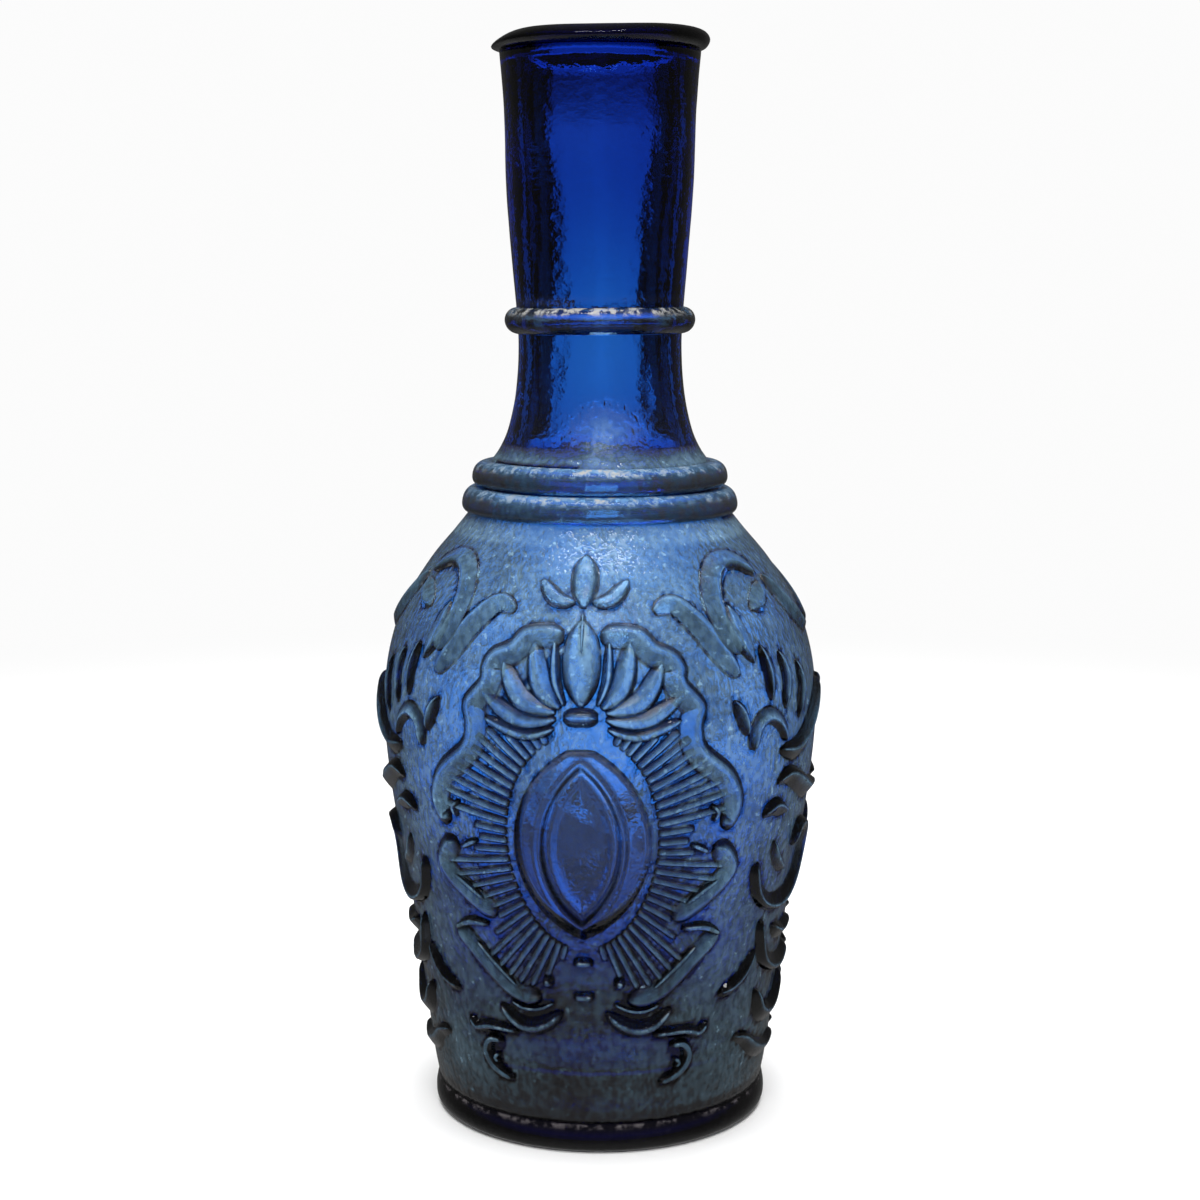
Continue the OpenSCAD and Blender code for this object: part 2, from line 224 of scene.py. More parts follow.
def film_cover(points, normals, bend, raised):
    """Covers of the pale film with its painted highlights, of the crumbly residue with its painted
    glints, and of painted shade, at points in mm.

    Facing is the cosine between the point's normal and the wall's. The film is its cover at that
    height times the cube of facing, so it thins on the steep sides of the ornament. Round the belly
    it is full at the front and rear, and towards the sides it paints sheen low down and shade on the
    shoulder; on the collars it gathers on the tops and brightens towards the front as a painted
    highlight. A pale line along crests is worn film and a painted highlight, the film is absent
    under the surface, and a patch clings to the neck above the collars. Residue fills the corners at
    the foot of each ridge, cream crumbs on low crests are residue and painted glints, and pale lines
    along the tops of the rings are a painted highlight. Shade is painted darkness on the steep
    sides, halved on the shoulder."""
    turn = np.arctan2(points[:, 0], -points[:, 1])
    degrees = np.degrees(turn)
    height, up = points[:, 2], normals[:, 2]
    lift = lift_of(points)
    slope = wall_slope(height)
    out = np.stack([np.sin(turn), -np.cos(turn), -slope], -1) / np.sqrt(1 + slope ** 2)[:, None]
    facing = np.clip(np.sum(out * normals, axis=1), 0, 1)
    on_belly = within(height, BELLY_BAND)
    on_collar = (lift > PROUD) * within(height, COLLAR_BAND)
    on_ring = (lift > PROUD) * (within(height, COLLAR_BAND) + within(height, NECK_RING_BAND))
    front = hump(degrees, 0, FRONT_DEG) + hump(np.abs(degrees), 180, FRONT_DEG)

    # Painted shade: steep sides, which bend the light away, are darkened in colour, half as much on
    # the shoulder where more light falls
    shade = fading(facing, 0.92, 0.07) * (lift > BURIED) * on_belly
    shade = shade * (1 - 0.5 * growing(height, 114, 8))
    crest = growing(bend, 0.1, 0.7) * (lift > HIGH) * within(height, CREST_BAND)

    cover = np.interp(height, *FILM_BY_HEIGHT)
    # Towards the sides the film is scaled by height, which paints sheen low down and shade on the
    # shoulder
    at_side = np.interp(height, *SIDE_SHEEN_AND_SHADE_BY_HEIGHT)
    cover = cover * np.where(on_belly, front + at_side * (1 - front), 1)
    # On the collars the film gathers on the tops and brightens towards the front, partly dust and
    # partly a painted highlight
    top_dust_and_highlight = (0.6 + 0.8 * front) * (0.45 + 1.4 * np.clip(up, 0, 1) ** 3)
    film_and_highlight = cover * np.where(on_collar, top_dust_and_highlight, facing ** 3) * (1 - 0.8 * shade)
    film_and_highlight = film_and_highlight + PATCH * hump(degrees, PATCH_TURN, PATCH_DEG) * hump(height, PATCH_Z, PATCH_MM)
    # A pale line along the crests: worn film and a painted highlight
    film_and_highlight = film_and_highlight + 0.09 * crest * (1 - shade) * np.clip(cover / 0.1, 0.3, 1)

    corner = hump(lift, 0.12, 0.15) * (lift > PROUD)
    steep = np.where(on_belly, fading(facing, 0.94, 0.1), 1)
    residue_and_glint = np.interp(height, *RESIDUE_BY_HEIGHT) * corner * steep
    # Cream crumbs on the low crests: residue and painted glints
    residue_and_glint = residue_and_glint + 0.7 * crest * np.interp(height, *CREST_CRUMBS_AND_GLINTS_BY_HEIGHT) * (up > 0.1)
    # Pale lines along the tops of the rings, brightest at the front: a painted highlight
    residue_and_glint = residue_and_glint + 0.9 * on_ring * (0.5 + 0.5 * front) * growing(up, 0.35, 0.3)
    outside = lift > (RAISED_SKIN if raised else WALL_SKIN)
    return film_and_highlight * outside, residue_and_glint * outside * (1 - 0.6 * shade), shade


# %% [markdown]
# ## Putting a grid into a mesh
# Most pieces are a stack of closed loops of points with a single point at each end, like the
# hoops of a paper lantern. Lofting them by hand in edit mode would work too. One function that
# turns such a stack into a closed mesh serves the vessel, every stroke and the jewel.

# %% Mesh from loops


def lantern(loops, first, last):
    """Vertices and faces of a closed skin: two end points joined by loops of equal length."""
    n, m = loops.shape[:2]
    verts = np.vstack([first[None], loops.reshape(-1, 3), last[None]])
    row, col = np.meshgrid(np.arange(n - 1), np.arange(m), indexing="ij")
    a = 1 + row * m + col
    b = 1 + row * m + (col + 1) % m
    quads = np.stack([a, b, b + m, a + m], -1).reshape(-1, 4)
    c = np.arange(m)
    c2 = (c + 1) % m
    base = 1 + (n - 1) * m
    caps = np.vstack([np.stack([c * 0, 1 + c2, 1 + c], -1),
                      np.stack([c * 0 + len(verts) - 1, base + c, base + c2], -1)])
    return verts, quads, caps


def joined(parts):
    """The (vertices, quads, triangles) of several parts as one set, each numbered on."""
    verts, quads, tris, start = [], [], [], 0
    for v, q, t in parts:
        verts.append(v)
        quads.append(q + start)
        tris.append(t + start)
        start += len(v)
    return np.vstack(verts), np.vstack(quads), np.vstack(tris)


def piece_from(name, parts, relief=1.0, raised=True):
    """One smooth mesh object from (vertices, quads, triangles) parts, with its three covers.

    relief scales the painted shade and the residue with its painted glints, and is below 1 for
    shallow ornament. raised is False for the wall itself."""
    verts, quads, tris = joined(parts)
    mesh = bpy.data.meshes.new(name)
    mesh.vertices.add(len(verts))
    mesh.vertices.foreach_set("co", verts.astype(np.float32).ravel())
    corners = np.concatenate([quads.ravel(), tris.ravel()]).astype(np.int32)
    starts = np.concatenate([np.arange(len(quads)) * 4,
                             len(quads) * 4 + np.arange(len(tris)) * 3]).astype(np.int32)
    mesh.loops.add(len(corners))
    mesh.loops.foreach_set("vertex_index", corners)
    mesh.polygons.add(len(starts))
    mesh.polygons.foreach_set("loop_start", starts)
    mesh.polygons.foreach_set("use_smooth", np.ones(len(starts), bool))
    mesh.update(calc_edges=True)
    mesh.validate()
    normals = np.empty(len(verts) * 3, np.float32)
    mesh.vertex_normals.foreach_get("vector", normals)
    normals = normals.reshape(-1, 3)
    covers = film_cover(verts / MM, normals, crests(mesh, verts / MM, normals), raised)
    for label, cover, share in zip(("film_and_highlight", "residue_and_glint", "shade"), covers, (1, relief, relief)):
        layer = mesh.attributes.new(label, "FLOAT", "POINT")
        layer.data.foreach_set("value", (cover * share).astype(np.float32))
    piece = bpy.data.objects.new(name, mesh)
    bpy.context.scene.collection.objects.link(piece)
    return piece


def enclosed(parts):
    """Signed volume of the parts in cubic centimetres; positive when faces point outwards."""
    total = 0.0
    for v, q, t in parts:
        tris = np.vstack([q[:, [0, 1, 2]], q[:, [0, 2, 3]], t])
        a, b, c = (v[tris[:, i]] for i in range(3))
        total += np.einsum("ij,ij->", a, np.cross(b, c)) / 6
    return total * 1e6


def facing_out(part):
    """The same part with its faces turned over if they point inwards."""
    if enclosed([part]) < 0:
        v, q, t = part
        part = (v, q[:, ::-1], t[:, ::-1])
    return part


# %% [markdown]
# ## The blown vessel
# The profile starts under the base at the middle of the push-up, runs out to the foot, up the
# outside, over the rim and down the inside to the middle of the floor. Turned round the axis it
# is one closed wall of glass. Solidify could thicken a single skin, but a blown wall is thin at
# the shoulder and thick below, so the inside has its own line.

# %% Vessel
CORK_R = frame["record"]["mounts"][0]["dims"]["r_mm"]
CORK_SEAT = frame["record"]["mounts"][0]["dims"]["length_mm"]
WALL_BY_HEIGHT = ((25, 55, 90), (5.4, 4.0, 2.6))
THROAT = [(128, 38.2), (131, 35.6), (137, 30.4), (145, 24.4), (153, 19.5), (162, 16.6), (172, 15.3),
          (185, 15), (205, 15.9), (LIP_SEAT - CORK_SEAT, CORK_R)]
KICK, KICK_R, FOOT_INNER_R = 10, 31, 33
FLOOR_THICK = 7
FLOOR = [(0, FOOT_TOP + KICK + FLOOR_THICK), (8, FOOT_TOP + KICK + 6.6), (16, FOOT_TOP + KICK + 5),
         (27, FOOT_TOP + KICK + 1.5), (32, FOOT_TOP + KICK), (34.6, FOOT_TOP + KICK + 3)]
INSIDE_STEPS = (127, 24, 60)
AROUND = 270
OUTSIDE_STEP, INSIDE_STEP = 1.15, 2.4


def even_steps(line, step):
    """The same line with points the given distance apart, as (height, radius) pairs."""
    length = np.concatenate([[0], np.cumsum(np.hypot(*np.diff(line, axis=0).T))])
    keep = np.concatenate([[True], np.diff(length) > 1e-9])
    line, length = line[keep], length[keep]
    n = max(2, int(round(length[-1] / step)) + 1)
    s = np.linspace(0, length[-1], n)
    return np.stack([np.interp(s, length, line[:, i]) for i in range(2)], -1)


def turned(line, around, shake):
    """Loops of a (height, radius) line carried round the axis; shake(turn, height) moves r."""
    turn = np.linspace(0, 2 * np.pi, around, endpoint=False)[None, :]
    height, r = line[:, :1], line[:, 1:]
    r = r + shake(turn, height) * np.clip(r / 10, 0, 1)
    return np.stack([r * np.sin(turn), -r * np.cos(turn), height + 0 * turn], -1) * MM


def still(turn, height):
    """No unevenness, for the base under the foot."""
    return 0 * turn + 0 * height


def inner_unevenness(turn, height):
    """The inside ripples more slowly than the outside, and on its own."""
    return 0.25 * ripple(turn, height, 45, 3.3) + 0.05 * ripple(turn, height, 12, 1.2)


# The push-up under the base is the cap of a sphere, KICK_R wide and KICK high
kick_sphere = (KICK_R ** 2 + KICK ** 2) / (2 * KICK)
kick_x = np.linspace(1.5, KICK_R, 12)
kick_z = FOOT_TOP + KICK - kick_sphere + np.sqrt(kick_sphere ** 2 - kick_x ** 2)
under = np.vstack([np.stack([kick_z, kick_x], -1), [(FOOT_TOP, FOOT_INNER_R)]])
outside = even_steps(OUTLINE, OUTSIDE_STEP)
inside_z = np.linspace(*INSIDE_STEPS)
inside_r = wall_radius(inside_z) - np.interp(inside_z, *WALL_BY_HEIGHT)
inside_belly = np.stack([inside_z, inside_r], -1)
floor_line = smooth([(z, r) for r, z in FLOOR], 4)[::-1]
inside = np.vstack([[(LIP_SEAT, CORK_R)], smooth(THROAT, 8)[::-1], inside_belly, floor_line])
inside = even_steps(inside, INSIDE_STEP)[:-1]
vessel_loops = np.concatenate([
    turned(under, AROUND, still),
    turned(outside, AROUND, unevenness),
    turned(inside, AROUND, inner_unevenness)])
low = np.array([0, 0, FOOT_TOP + KICK]) * MM
high = np.array([0, 0, FOOT_TOP + KICK + FLOOR_THICK]) * MM
vessel_part = facing_out(lantern(vessel_loops, low, high))
vessel = piece_from("vessel_glass", [vessel_part], raised=False)
print("vessel loops:", len(vessel_loops), "glass cm3:", round(enclosed([vessel_part]), 1))

# %% [markdown]
# ## The neck ring and the two collars
# Each is a bead of glass with a half-round section. A torus would do for a loose ring, but these
# are part of the wall, so each section's back follows the wall just inside its surface and no
# gap shows. A hand-made bead also rises, falls and swells a little as it goes round.

# %% Rings
SINK = 0.2
RING_AROUND, FOOT_AROUND, LIP_AROUND = 360, 240, 260
WANDER = 0.12


def ring_loops(section, around, move=None):
    """A closed section of (radius, height) points carried round; move(turn, r, z) may bend it."""
    turn = np.linspace(0, 2 * np.pi, around, endpoint=False)[:, None]
    r, z = section[:, 0][None, :], section[:, 1][None, :]
    if move:
        r, z = move(turn, r, z)
    r, z = r + 0 * turn, z + 0 * turn
    return np.stack([r * np.sin(turn), -r * np.cos(turn), z], -1) * MM


def hoop(loops):
    """Vertices and quads of a ring: loops of equal length joined round in a circle."""
    n, m = loops.shape[:2]
    row, col = np.meshgrid(np.arange(n), np.arange(m), indexing="ij")
    a = row * m + col
    b = row * m + (col + 1) % m
    c = (row + 1) % n * m + (col + 1) % m
    d = (row + 1) % n * m + col
    quads = np.stack([a, b, c, d], -1).reshape(-1, 4)
    return loops.reshape(-1, 3), quads, np.zeros((0, 3), int)


def bead(height, half, proud, squareness=2.0):
    """Section of a half-round bead on the wall, its back sunk just inside the glass."""
    u = np.cos(np.linspace(0, np.pi, 21))
    z = height + half * u
    front = wall_radius(height + 0 * z) * 0.5 + wall_radius(z) * 0.5
    front = front + proud * (1 - np.abs(u) ** squareness) ** (1 / squareness)
    zb = z[::-1][1:-1]
    return np.vstack([np.stack([front, z], -1), np.stack([wall_radius(zb) - SINK, zb], -1)])


def wander(amount, seed):
    """A move that lets a ring rise, fall and swell slightly as it goes round."""
    def move(turn, r, z):
        lift = amount * np.sin(turn + seed) + 0.5 * amount * np.sin(3 * turn + 2 * seed)
        swell = unevenness(turn, z) + 0.6 * amount * np.sin(2 * turn + 3 * seed)
        return r + swell, z + lift
    return move


def ring_piece(name, section, seed):
    """A wandering bead made into a piece."""
    part = facing_out(hoop(ring_loops(section, RING_AROUND, wander(WANDER, seed))))
    print(name, "cm3:", round(enclosed([part]), 2))
    return piece_from(name, [part])


def middle(node):
    """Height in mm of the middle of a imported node."""
    low_corner, high_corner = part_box(node)
    return (low_corner.z + high_corner.z) / 2 / MM


neck_ring = ring_piece("neck_ring_glass", bead(middle("neck_ring"), 3.0, 3.0), 0.4)
upper_collar = ring_piece("upper_collar_glass", bead(middle("upper_collar"), 2.9, 3.0, 2.4), 1.9)
lower_collar = ring_piece("lower_collar_glass", bead(middle("lower_collar"), 3.0, 2.9, 2.4), 3.2)

# %% [markdown]
# ## The foot
# The foot is a thick tyre of glass that the bottle stands on, worn flat below. A bevelled ring
# could be subdivided to this shape. A smooth curve through the few corners of its section,
# carried round the axis, keeps its width and height exact.

# %% Foot
FOOT_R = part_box("foot_ring")[1].x / MM
foot_keys = [(38.5, FOOT_TOP + SINK), (39.0, 5.4), (FOOT_R, 3.2), (39.0, 1.2), (37.4, 0.0),
             (35.2, 0.0), (33.2, 0.1), (31.4, 1.4), (30.8, 3.6), (31.2, FOOT_TOP + SINK),
             (35, FOOT_TOP + SINK)]
foot_section = smooth(foot_keys + foot_keys[:1], 4)[:-1]
foot_section[:, 1] = np.maximum(foot_section[:, 1], 0)
foot_part = facing_out(hoop(ring_loops(foot_section, FOOT_AROUND)))
foot = piece_from("foot_ring_glass", [foot_part])
print("foot cm3:", round(enclosed([foot_part]), 1))

# %% [markdown]
# ## The lip
# A collar of hot glass was laid on the neck by hand and pressed out with a tool, so its edge
# wanders, thins to the left and rises to the right. It could be sculpted. Here the section is
# carried round as for the foot, and a few slow waves move its edge while its inside stays round.

# %% Lip
LIP_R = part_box("applied_lip")[1].x / MM
lip_keys = [(CORK_R + 0.3, LIP_SEAT - SINK), (CORK_R + 0.4, LIP_SEAT + 2), (CORK_R + 0.9, TOP - 1.4),
            (CORK_R + 2.2, TOP - 0.5), (LIP_R - 3, TOP - 0.4), (LIP_R - 0.9, TOP - 1.2),
            (LIP_R, TOP - 2.6), (LIP_R - 0.8, LIP_SEAT + 0.9), (LIP_R - 2.4, LIP_SEAT + 0.2),
            (22, LIP_SEAT - SINK)]


def tooled(turn, r, z):
    """The lip's edge: pushed out unevenly, thin on the left (-X), thick and raised on the right."""
    out = np.clip((r - CORK_R - 1) / (LIP_R - CORK_R - 1), 0, 1)
    right = np.sin(turn)
    up = np.clip((z - LIP_SEAT) / (TOP - LIP_SEAT), 0, 1)
    thin = 1 - out * (0.22 - 0.22 * right + 0.12 * np.sin(3 * turn + 0.8))
    z = LIP_SEAT + (z - LIP_SEAT) * np.where(z > LIP_SEAT, thin, 1)
    z = z + out * (0.35 * right - 0.25 + 0.22 * np.sin(2 * turn + 1) - 0.2 * np.cos(5 * turn)) * up
    r = r + out * (0.35 * np.sin(2 * turn + 2.2) + 0.2 * np.sin(5 * turn) - 0.3)
    return r, np.minimum(z, TOP)


lip_section = smooth(lip_keys + lip_keys[:1], 4)[:-1]
lip_part = facing_out(hoop(ring_loops(lip_section, LIP_AROUND, tooled)))
lip = piece_from("applied_lip_glass", [lip_part])
print("lip cm3:", round(enclosed([lip_part]), 2))

# %% [markdown]
# ## Raised strokes
# The ornament is made of strokes: ribbons, leaves and rays that swell out of the wall. A stroke
# follows a smooth path over the belly. A bevelled curve shrunk onto the wall could do this, but
# its two sides would be alike. Here its height across is a formula whose two flanks may differ,
# and its back runs just inside the wall, so each stroke is a closed solid.

# %% Strokes
BACK_DEPTH = SINK + 0.04
FLANK_POWER = 1.2


def path_on_belly(keys, step):
    """Evenly spaced (degrees, height) points of a smooth path through the keys, in true length."""
    fine = smooth(keys, 16)
    r = np.radians(1) * wall_radius(fine[:, 1])
    dx = np.diff(fine[:, 0]) * (r[1:] + r[:-1]) / 2
    dz = np.diff(fine[:, 1]) * np.sqrt(1 + wall_slope(fine[1:, 1]) ** 2)
    length = np.concatenate([[0], np.cumsum(np.hypot(dx, dz))])
    n = max(10, int(round(length[-1] / step)))
    s = np.linspace(0, length[-1], n)
    return np.stack([np.interp(s, length, fine[:, i]) for i in range(2)], -1), length[-1]


def ridge_form(v, near, far):
    """Height across a stroke: 0 at both edges, 1 over the flat between its two flanks.

    near and far are the shares of the width that each flank takes. A flank rises steeply at
    first and rounds off at its top."""
    up = 1 - (1 - np.clip(v / near, 0, 1)) ** FLANK_POWER
    down = 1 - (1 - np.clip((1 - v) / far, 0, 1)) ** FLANK_POWER
    return up * down


def stroke(keys, width, rise, taper=0.0, near=0.3, far=0.3, aside=0.0, across=13, step=0.6,
           place=(0, 1)):
    """A closed ridge along a path.

    width and rise are the greatest ones in mm. taper 0 keeps the width even with round ends and
    taper 1 makes a leaf that swells in the middle. near and far shape its flanks. place is the
    angle the path's degrees count from and their direction, so one list serves every side.
    aside moves the whole ridge towards its v = 1 edge."""
    path, length = path_on_belly(keys, step)
    n = len(path)
    t = (np.arange(n) + 0.5) / n
    end = min(0.5, 0.6 * width / length)
    round_off = np.sqrt(np.clip(1 - (1 - np.clip(np.minimum(t, 1 - t) / end, 0, 1)) ** 2, 0.02, 1))
    swell = (1 - taper) + taper * (0.18 + 0.82 * np.sin(np.pi * t) ** 0.8)
    half = 0.5 * width * round_off * swell
    height = rise * round_off * (0.45 * swell + 0.55)
    slope = np.sqrt(1 + wall_slope(path[:, 1]) ** 2)
    mm_per_deg = np.radians(1) * wall_radius(path[:, 1])
    go = np.gradient(path, axis=0) * np.stack([mm_per_deg, slope], -1)
    go /= np.linalg.norm(go, axis=1, keepdims=True)
    path = path + aside * np.stack([-go[:, 1] / mm_per_deg, go[:, 0] / slope], -1)
    v = 0.5 - 0.5 * np.cos(np.linspace(0, np.pi, across))
    side = (2 * v - 1)[None, :] * half[:, None]
    deg = path[:, :1] - side * go[:, 1:] / mm_per_deg[:, None]
    z = path[:, 1:] + side * go[:, :1] / slope[:, None]
    front = height[:, None] * ridge_form(v, near, far)[None, :] * (1 + SINK / rise) - SINK
    back_cols = slice(across - 2, 0, -2)
    deg = np.concatenate([deg, deg[:, back_cols]], 1)
    z = np.concatenate([z, z[:, back_cols]], 1)
    lift = np.concatenate([front, 0 * front[:, back_cols] - BACK_DEPTH], 1)
    start, way = place
    loops = on_wall(start + way * deg, z, lift)
    ends = [on_wall(start + way * path[i, 0], path[i, 1], -SINK) for i in (0, -1)]
    return facing_out(lantern(loops, ends[0], ends[1]))


FRONT, REAR = 0, 180
BOTH_WAYS = (1, -1)


def mirrored(strokes, facing):
    """Builds every (keys, settings) stroke on both halves of a side."""
    return [stroke(keys, place=(facing, way), **settings) for way in BOTH_WAYS
            for keys, settings in strokes]


def single(strokes, facing):
    """Builds strokes that lie on the middle line of a side."""
    return [stroke(keys, place=(facing, 1), **settings) for keys, settings in strokes]


print("flank heights across a stroke:", ridge_form(np.linspace(0, 1, 5), 0.3, 0.3).round(2))

# %% [markdown]
# ## The medallion's frame and its curls
# The frame steps inwards and outwards like a carved cartouche, in three lengths, with small ticks at
# their ends and curls below the medallion and beside the finial. It could be traced as a curve with
# a bevel object. Strokes were chosen so that its outer side can be steep, which draws it as a dark
# line in clear glass, deepened by the painted shade of steep sides.

# %% Frame
FRAME_TOP = [(5, 120.8), (15, 120), (19, 117), (24, 115), (26, 112), (26, 109), (30.5, 104),
             (29.5, 99), (31, 94.5), (39, 88.5), (42.5, 82), (40.5, 76.8), (37, 76)]
FRAME_MIDDLE = [(36, 73), (40, 71.5), (43.5, 67), (41.5, 63), (33.5, 58), (26, 54.5)]
FRAME_HOOK = [(28, 53.4), (35, 53), (41, 50.6)]
FRAME_LOW = [(41.5, 50), (33, 44), (24.5, 38), (18, 35.8), (12.5, 36)]
STEP_OUT = dict(rise=1.4, near=0.66, far=0.32, aside=-1.7)
frame_strokes = [
    (FRAME_TOP, dict(width=6.4, **STEP_OUT)),
    (FRAME_MIDDLE, dict(width=6.0, **STEP_OUT)),
    (FRAME_HOOK, dict(width=2.6, rise=1.3, taper=0.6)),
    (FRAME_LOW, dict(width=5.6, **STEP_OUT)),
    ([(33, 48.6), (26, 43.6), (20.5, 39.6)], dict(width=1.8, rise=0.9, taper=0.6)),
    ([(38.5, 64), (33, 61.6), (28.5, 59)], dict(width=2.2, rise=1.0, taper=0.7)),
    ([(33.5, 81.6), (35.5, 80), (34.5, 77.8)], dict(width=1.8, rise=1.2, taper=0.5)),
    ([(34, 70.8), (31.5, 72), (28.5, 73.2)], dict(width=2.0, rise=1.2, taper=0.5)),
]
curl_strokes = [
    ([(6.5, 34.4), (11, 31.6), (16, 30.2), (21, 31), (26.5, 34.6)],
     dict(width=4.8, rise=1.7, taper=0.7, near=0.35, far=0.5)),
    ([(9, 36.4), (13, 34.8), (18, 34.4), (22.5, 35.6)], dict(width=1.6, rise=0.9, taper=0.6)),
    ([(39.6, 29.6), (36.5, 27.4), (31, 28.4), (21, 28.4)],
     dict(width=3.4, rise=1.5, taper=0.5, far=0.5)),
    ([(26.5, 25.4), (31, 25.4), (33, 22.4), (30, 18.8), (23.5, 16.6)],
     dict(width=3.2, rise=1.5, taper=0.5)),
    ([(28, 22.4), (30, 21), (28.5, 19.8)], dict(width=1.8, rise=1.0, taper=0.6)),
    ([(20, 123.6), (26, 125), (32, 121), (37.5, 114.6), (42.5, 109)],
     dict(width=6.4, rise=0.9, taper=0.5, near=0.78, far=0.18)),
]
print("strokes on each half: frame", len(frame_strokes), "and curls", len(curl_strokes))

# %% [markdown]
# ## The palmette, the finial and the studs
# Petals fan out of a small oval boss and nearly touch, so only a thin valley parts them. The
# three-petalled finial stands above, and four studs close the tail of the medallion. One petal
# could be copied and turned, but each has its own length and lean, so each has its own path.

# %% Palmette, finial and studs
PETAL = dict(rise=1.0, taper=0.7, near=0.24, far=0.5)
BLADE = dict(rise=1.0, taper=0.7, near=0.3, far=0.3)
palmette_strokes = [
    ([(4.0, 104.6), (6.4, 110), (7.0, 118)], dict(width=2.6, **PETAL)),
    ([(5, 104.0), (10.2, 108.6), (12.4, 118)], dict(width=5.4, **PETAL)),
    ([(6, 103.2), (15, 105.6), (20.6, 113.6)], dict(width=5.4, **PETAL)),
    ([(6, 101.8), (16, 101.4), (26, 107)], dict(width=4.6, **PETAL)),
    ([(6.5, 99.8), (14, 98.2), (25, 101.2)], dict(width=3.4, **PETAL)),
]
palmette_middle = [
    ([(0, 104.4), (0, 112), (0, 122.4)], dict(width=8.6, **BLADE)),
    ([(0, 115), (0, 119), (0, 123.6)], dict(width=1.8, rise=1.5, taper=0.6, near=0.5, far=0.5)),
]
boss = [([(-4.3, 102.2), (0, 102.2), (4.3, 102.2)], dict(width=4.4, rise=1.8, near=0.4, far=0.4))]
finial_strokes = [([(2.4, 125.8), (8, 126.4), (13.6, 130.2)], dict(width=4.2, **BLADE))]
finial_middle = [([(0, 124.6), (0, 129), (0, 135.2)], dict(width=6.4, **BLADE))]
stud_strokes = [([(8.6, 41.6), (12, 41.3)], dict(width=3.2, rise=1.9))]
stud_middle = [
    ([(-2.8, 46.3), (2.8, 46.3)], dict(width=2.6, rise=1.7)),
    ([(-3, 38.2), (3, 38.2)], dict(width=2.6, rise=1.7)),
]
print("petals on each half:", len(palmette_strokes))

# %% [markdown]
# ## The jewel
# An egg-shaped field carries two almond-shaped ridges, one inside the other, with a smooth
# swelling in the middle. It could be sculpted on a grid. Its height is worked out from the
# distance to each outline instead, where an almond is the overlap of two circles, so every edge
# stays crisp. The piece is a set of egg-shaped loops from the middle to the edge.

# %% Jewel
JEWEL_Z = 74.0
JEWEL_AROUND, JEWEL_RINGS = 220, 64
FIELD_HALF, OUTER_HALF, INNER_HALF = (15.3, 22.6), (10.0, 19.6), (6.2, 14.6)


def almond_gap(x, y, half_w, half_h):
    """Distance outside an almond (negative inside): the farther of its two circles."""
    r = (half_h ** 2 + half_w ** 2) / (2 * half_w)
    shift = r - half_w
    return np.maximum(np.hypot(x + shift, y), np.hypot(x - shift, y)) - r


def egg_gap(x, y):
    """Distance outside the jewel's field: an almond whose top is rounded by a third circle."""
    return np.maximum(almond_gap(x, y, *FIELD_HALF), np.hypot(x, y + 2.6) - 24.0)


def jewel_height(x, y):
    """Bevelled terrace, outer ridge, groove and middle swelling, from the outlines' distances.

    The bevel is wider and higher towards the lower left."""
    below = np.clip((6 - y - 0.6 * x) / 24, 0, 1)
    bevel = 1.5 + 2.1 * below
    edge = np.clip(-egg_gap(x, y) / bevel, 0, 1)
    outer, inner = almond_gap(x, y, *OUTER_HALF), almond_gap(x, y, *INNER_HALF)
    terrace = (0.7 + 1.9 * below) * edge * (1.2 - 0.2 * edge)
    ridge, groove = 0.5 * hump(outer, -0.9, 0.8), 0.25 * hump(outer, -2.7, 0.9)
    swelling = 0.7 * (1 - np.exp(-np.clip(-inner, 0, None) / 1.4))
    return terrace + ridge - groove + swelling


def jewel_part(facing):
    """Loops of the egg shape scaled from the middle to the edge, then back along the wall."""
    phi = np.linspace(0, 2 * np.pi, JEWEL_AROUND, endpoint=False)
    far = np.linspace(0, 30, 600)[:, None]
    ray_x, ray_y = far * np.cos(phi), far * np.sin(phi)
    reach = far[np.argmax(egg_gap(ray_x, ray_y) > 0, axis=0), 0]
    rho = np.sin(np.linspace(0.02, np.pi / 2, JEWEL_RINGS))[:, None]
    x, y = rho * reach * np.cos(phi), rho * reach * np.sin(phi)
    front = jewel_height(x, y) - SINK
    x, y = np.vstack([x, x[-2:0:-6]]), np.vstack([y, y[-2:0:-6]])
    lift = np.vstack([front, 0 * front[-2:0:-6] - BACK_DEPTH])
    z = JEWEL_Z + y
    deg = np.degrees(x / wall_radius(z))
    loops = on_wall(facing + deg, z, lift)
    top = on_wall(facing, JEWEL_Z, jewel_height(np.zeros(1), np.zeros(1))[0] - SINK)
    under = on_wall(facing, JEWEL_Z, -BACK_DEPTH)
    return facing_out(lantern(loops, top, under))


print("jewel height at its middle, mm:", round(float(jewel_height(0.0, 0.0)), 2))

# %% [markdown]
# ## The rays
# Fine ridges fan out between the jewel and the frame. Each starts on the jewel's edge and runs
# straight away from its middle until it meets the inner outline of the frame. An array turned
# about the jewel would make them all of one length, so each ray's end is found by crossing it
# with that outline.

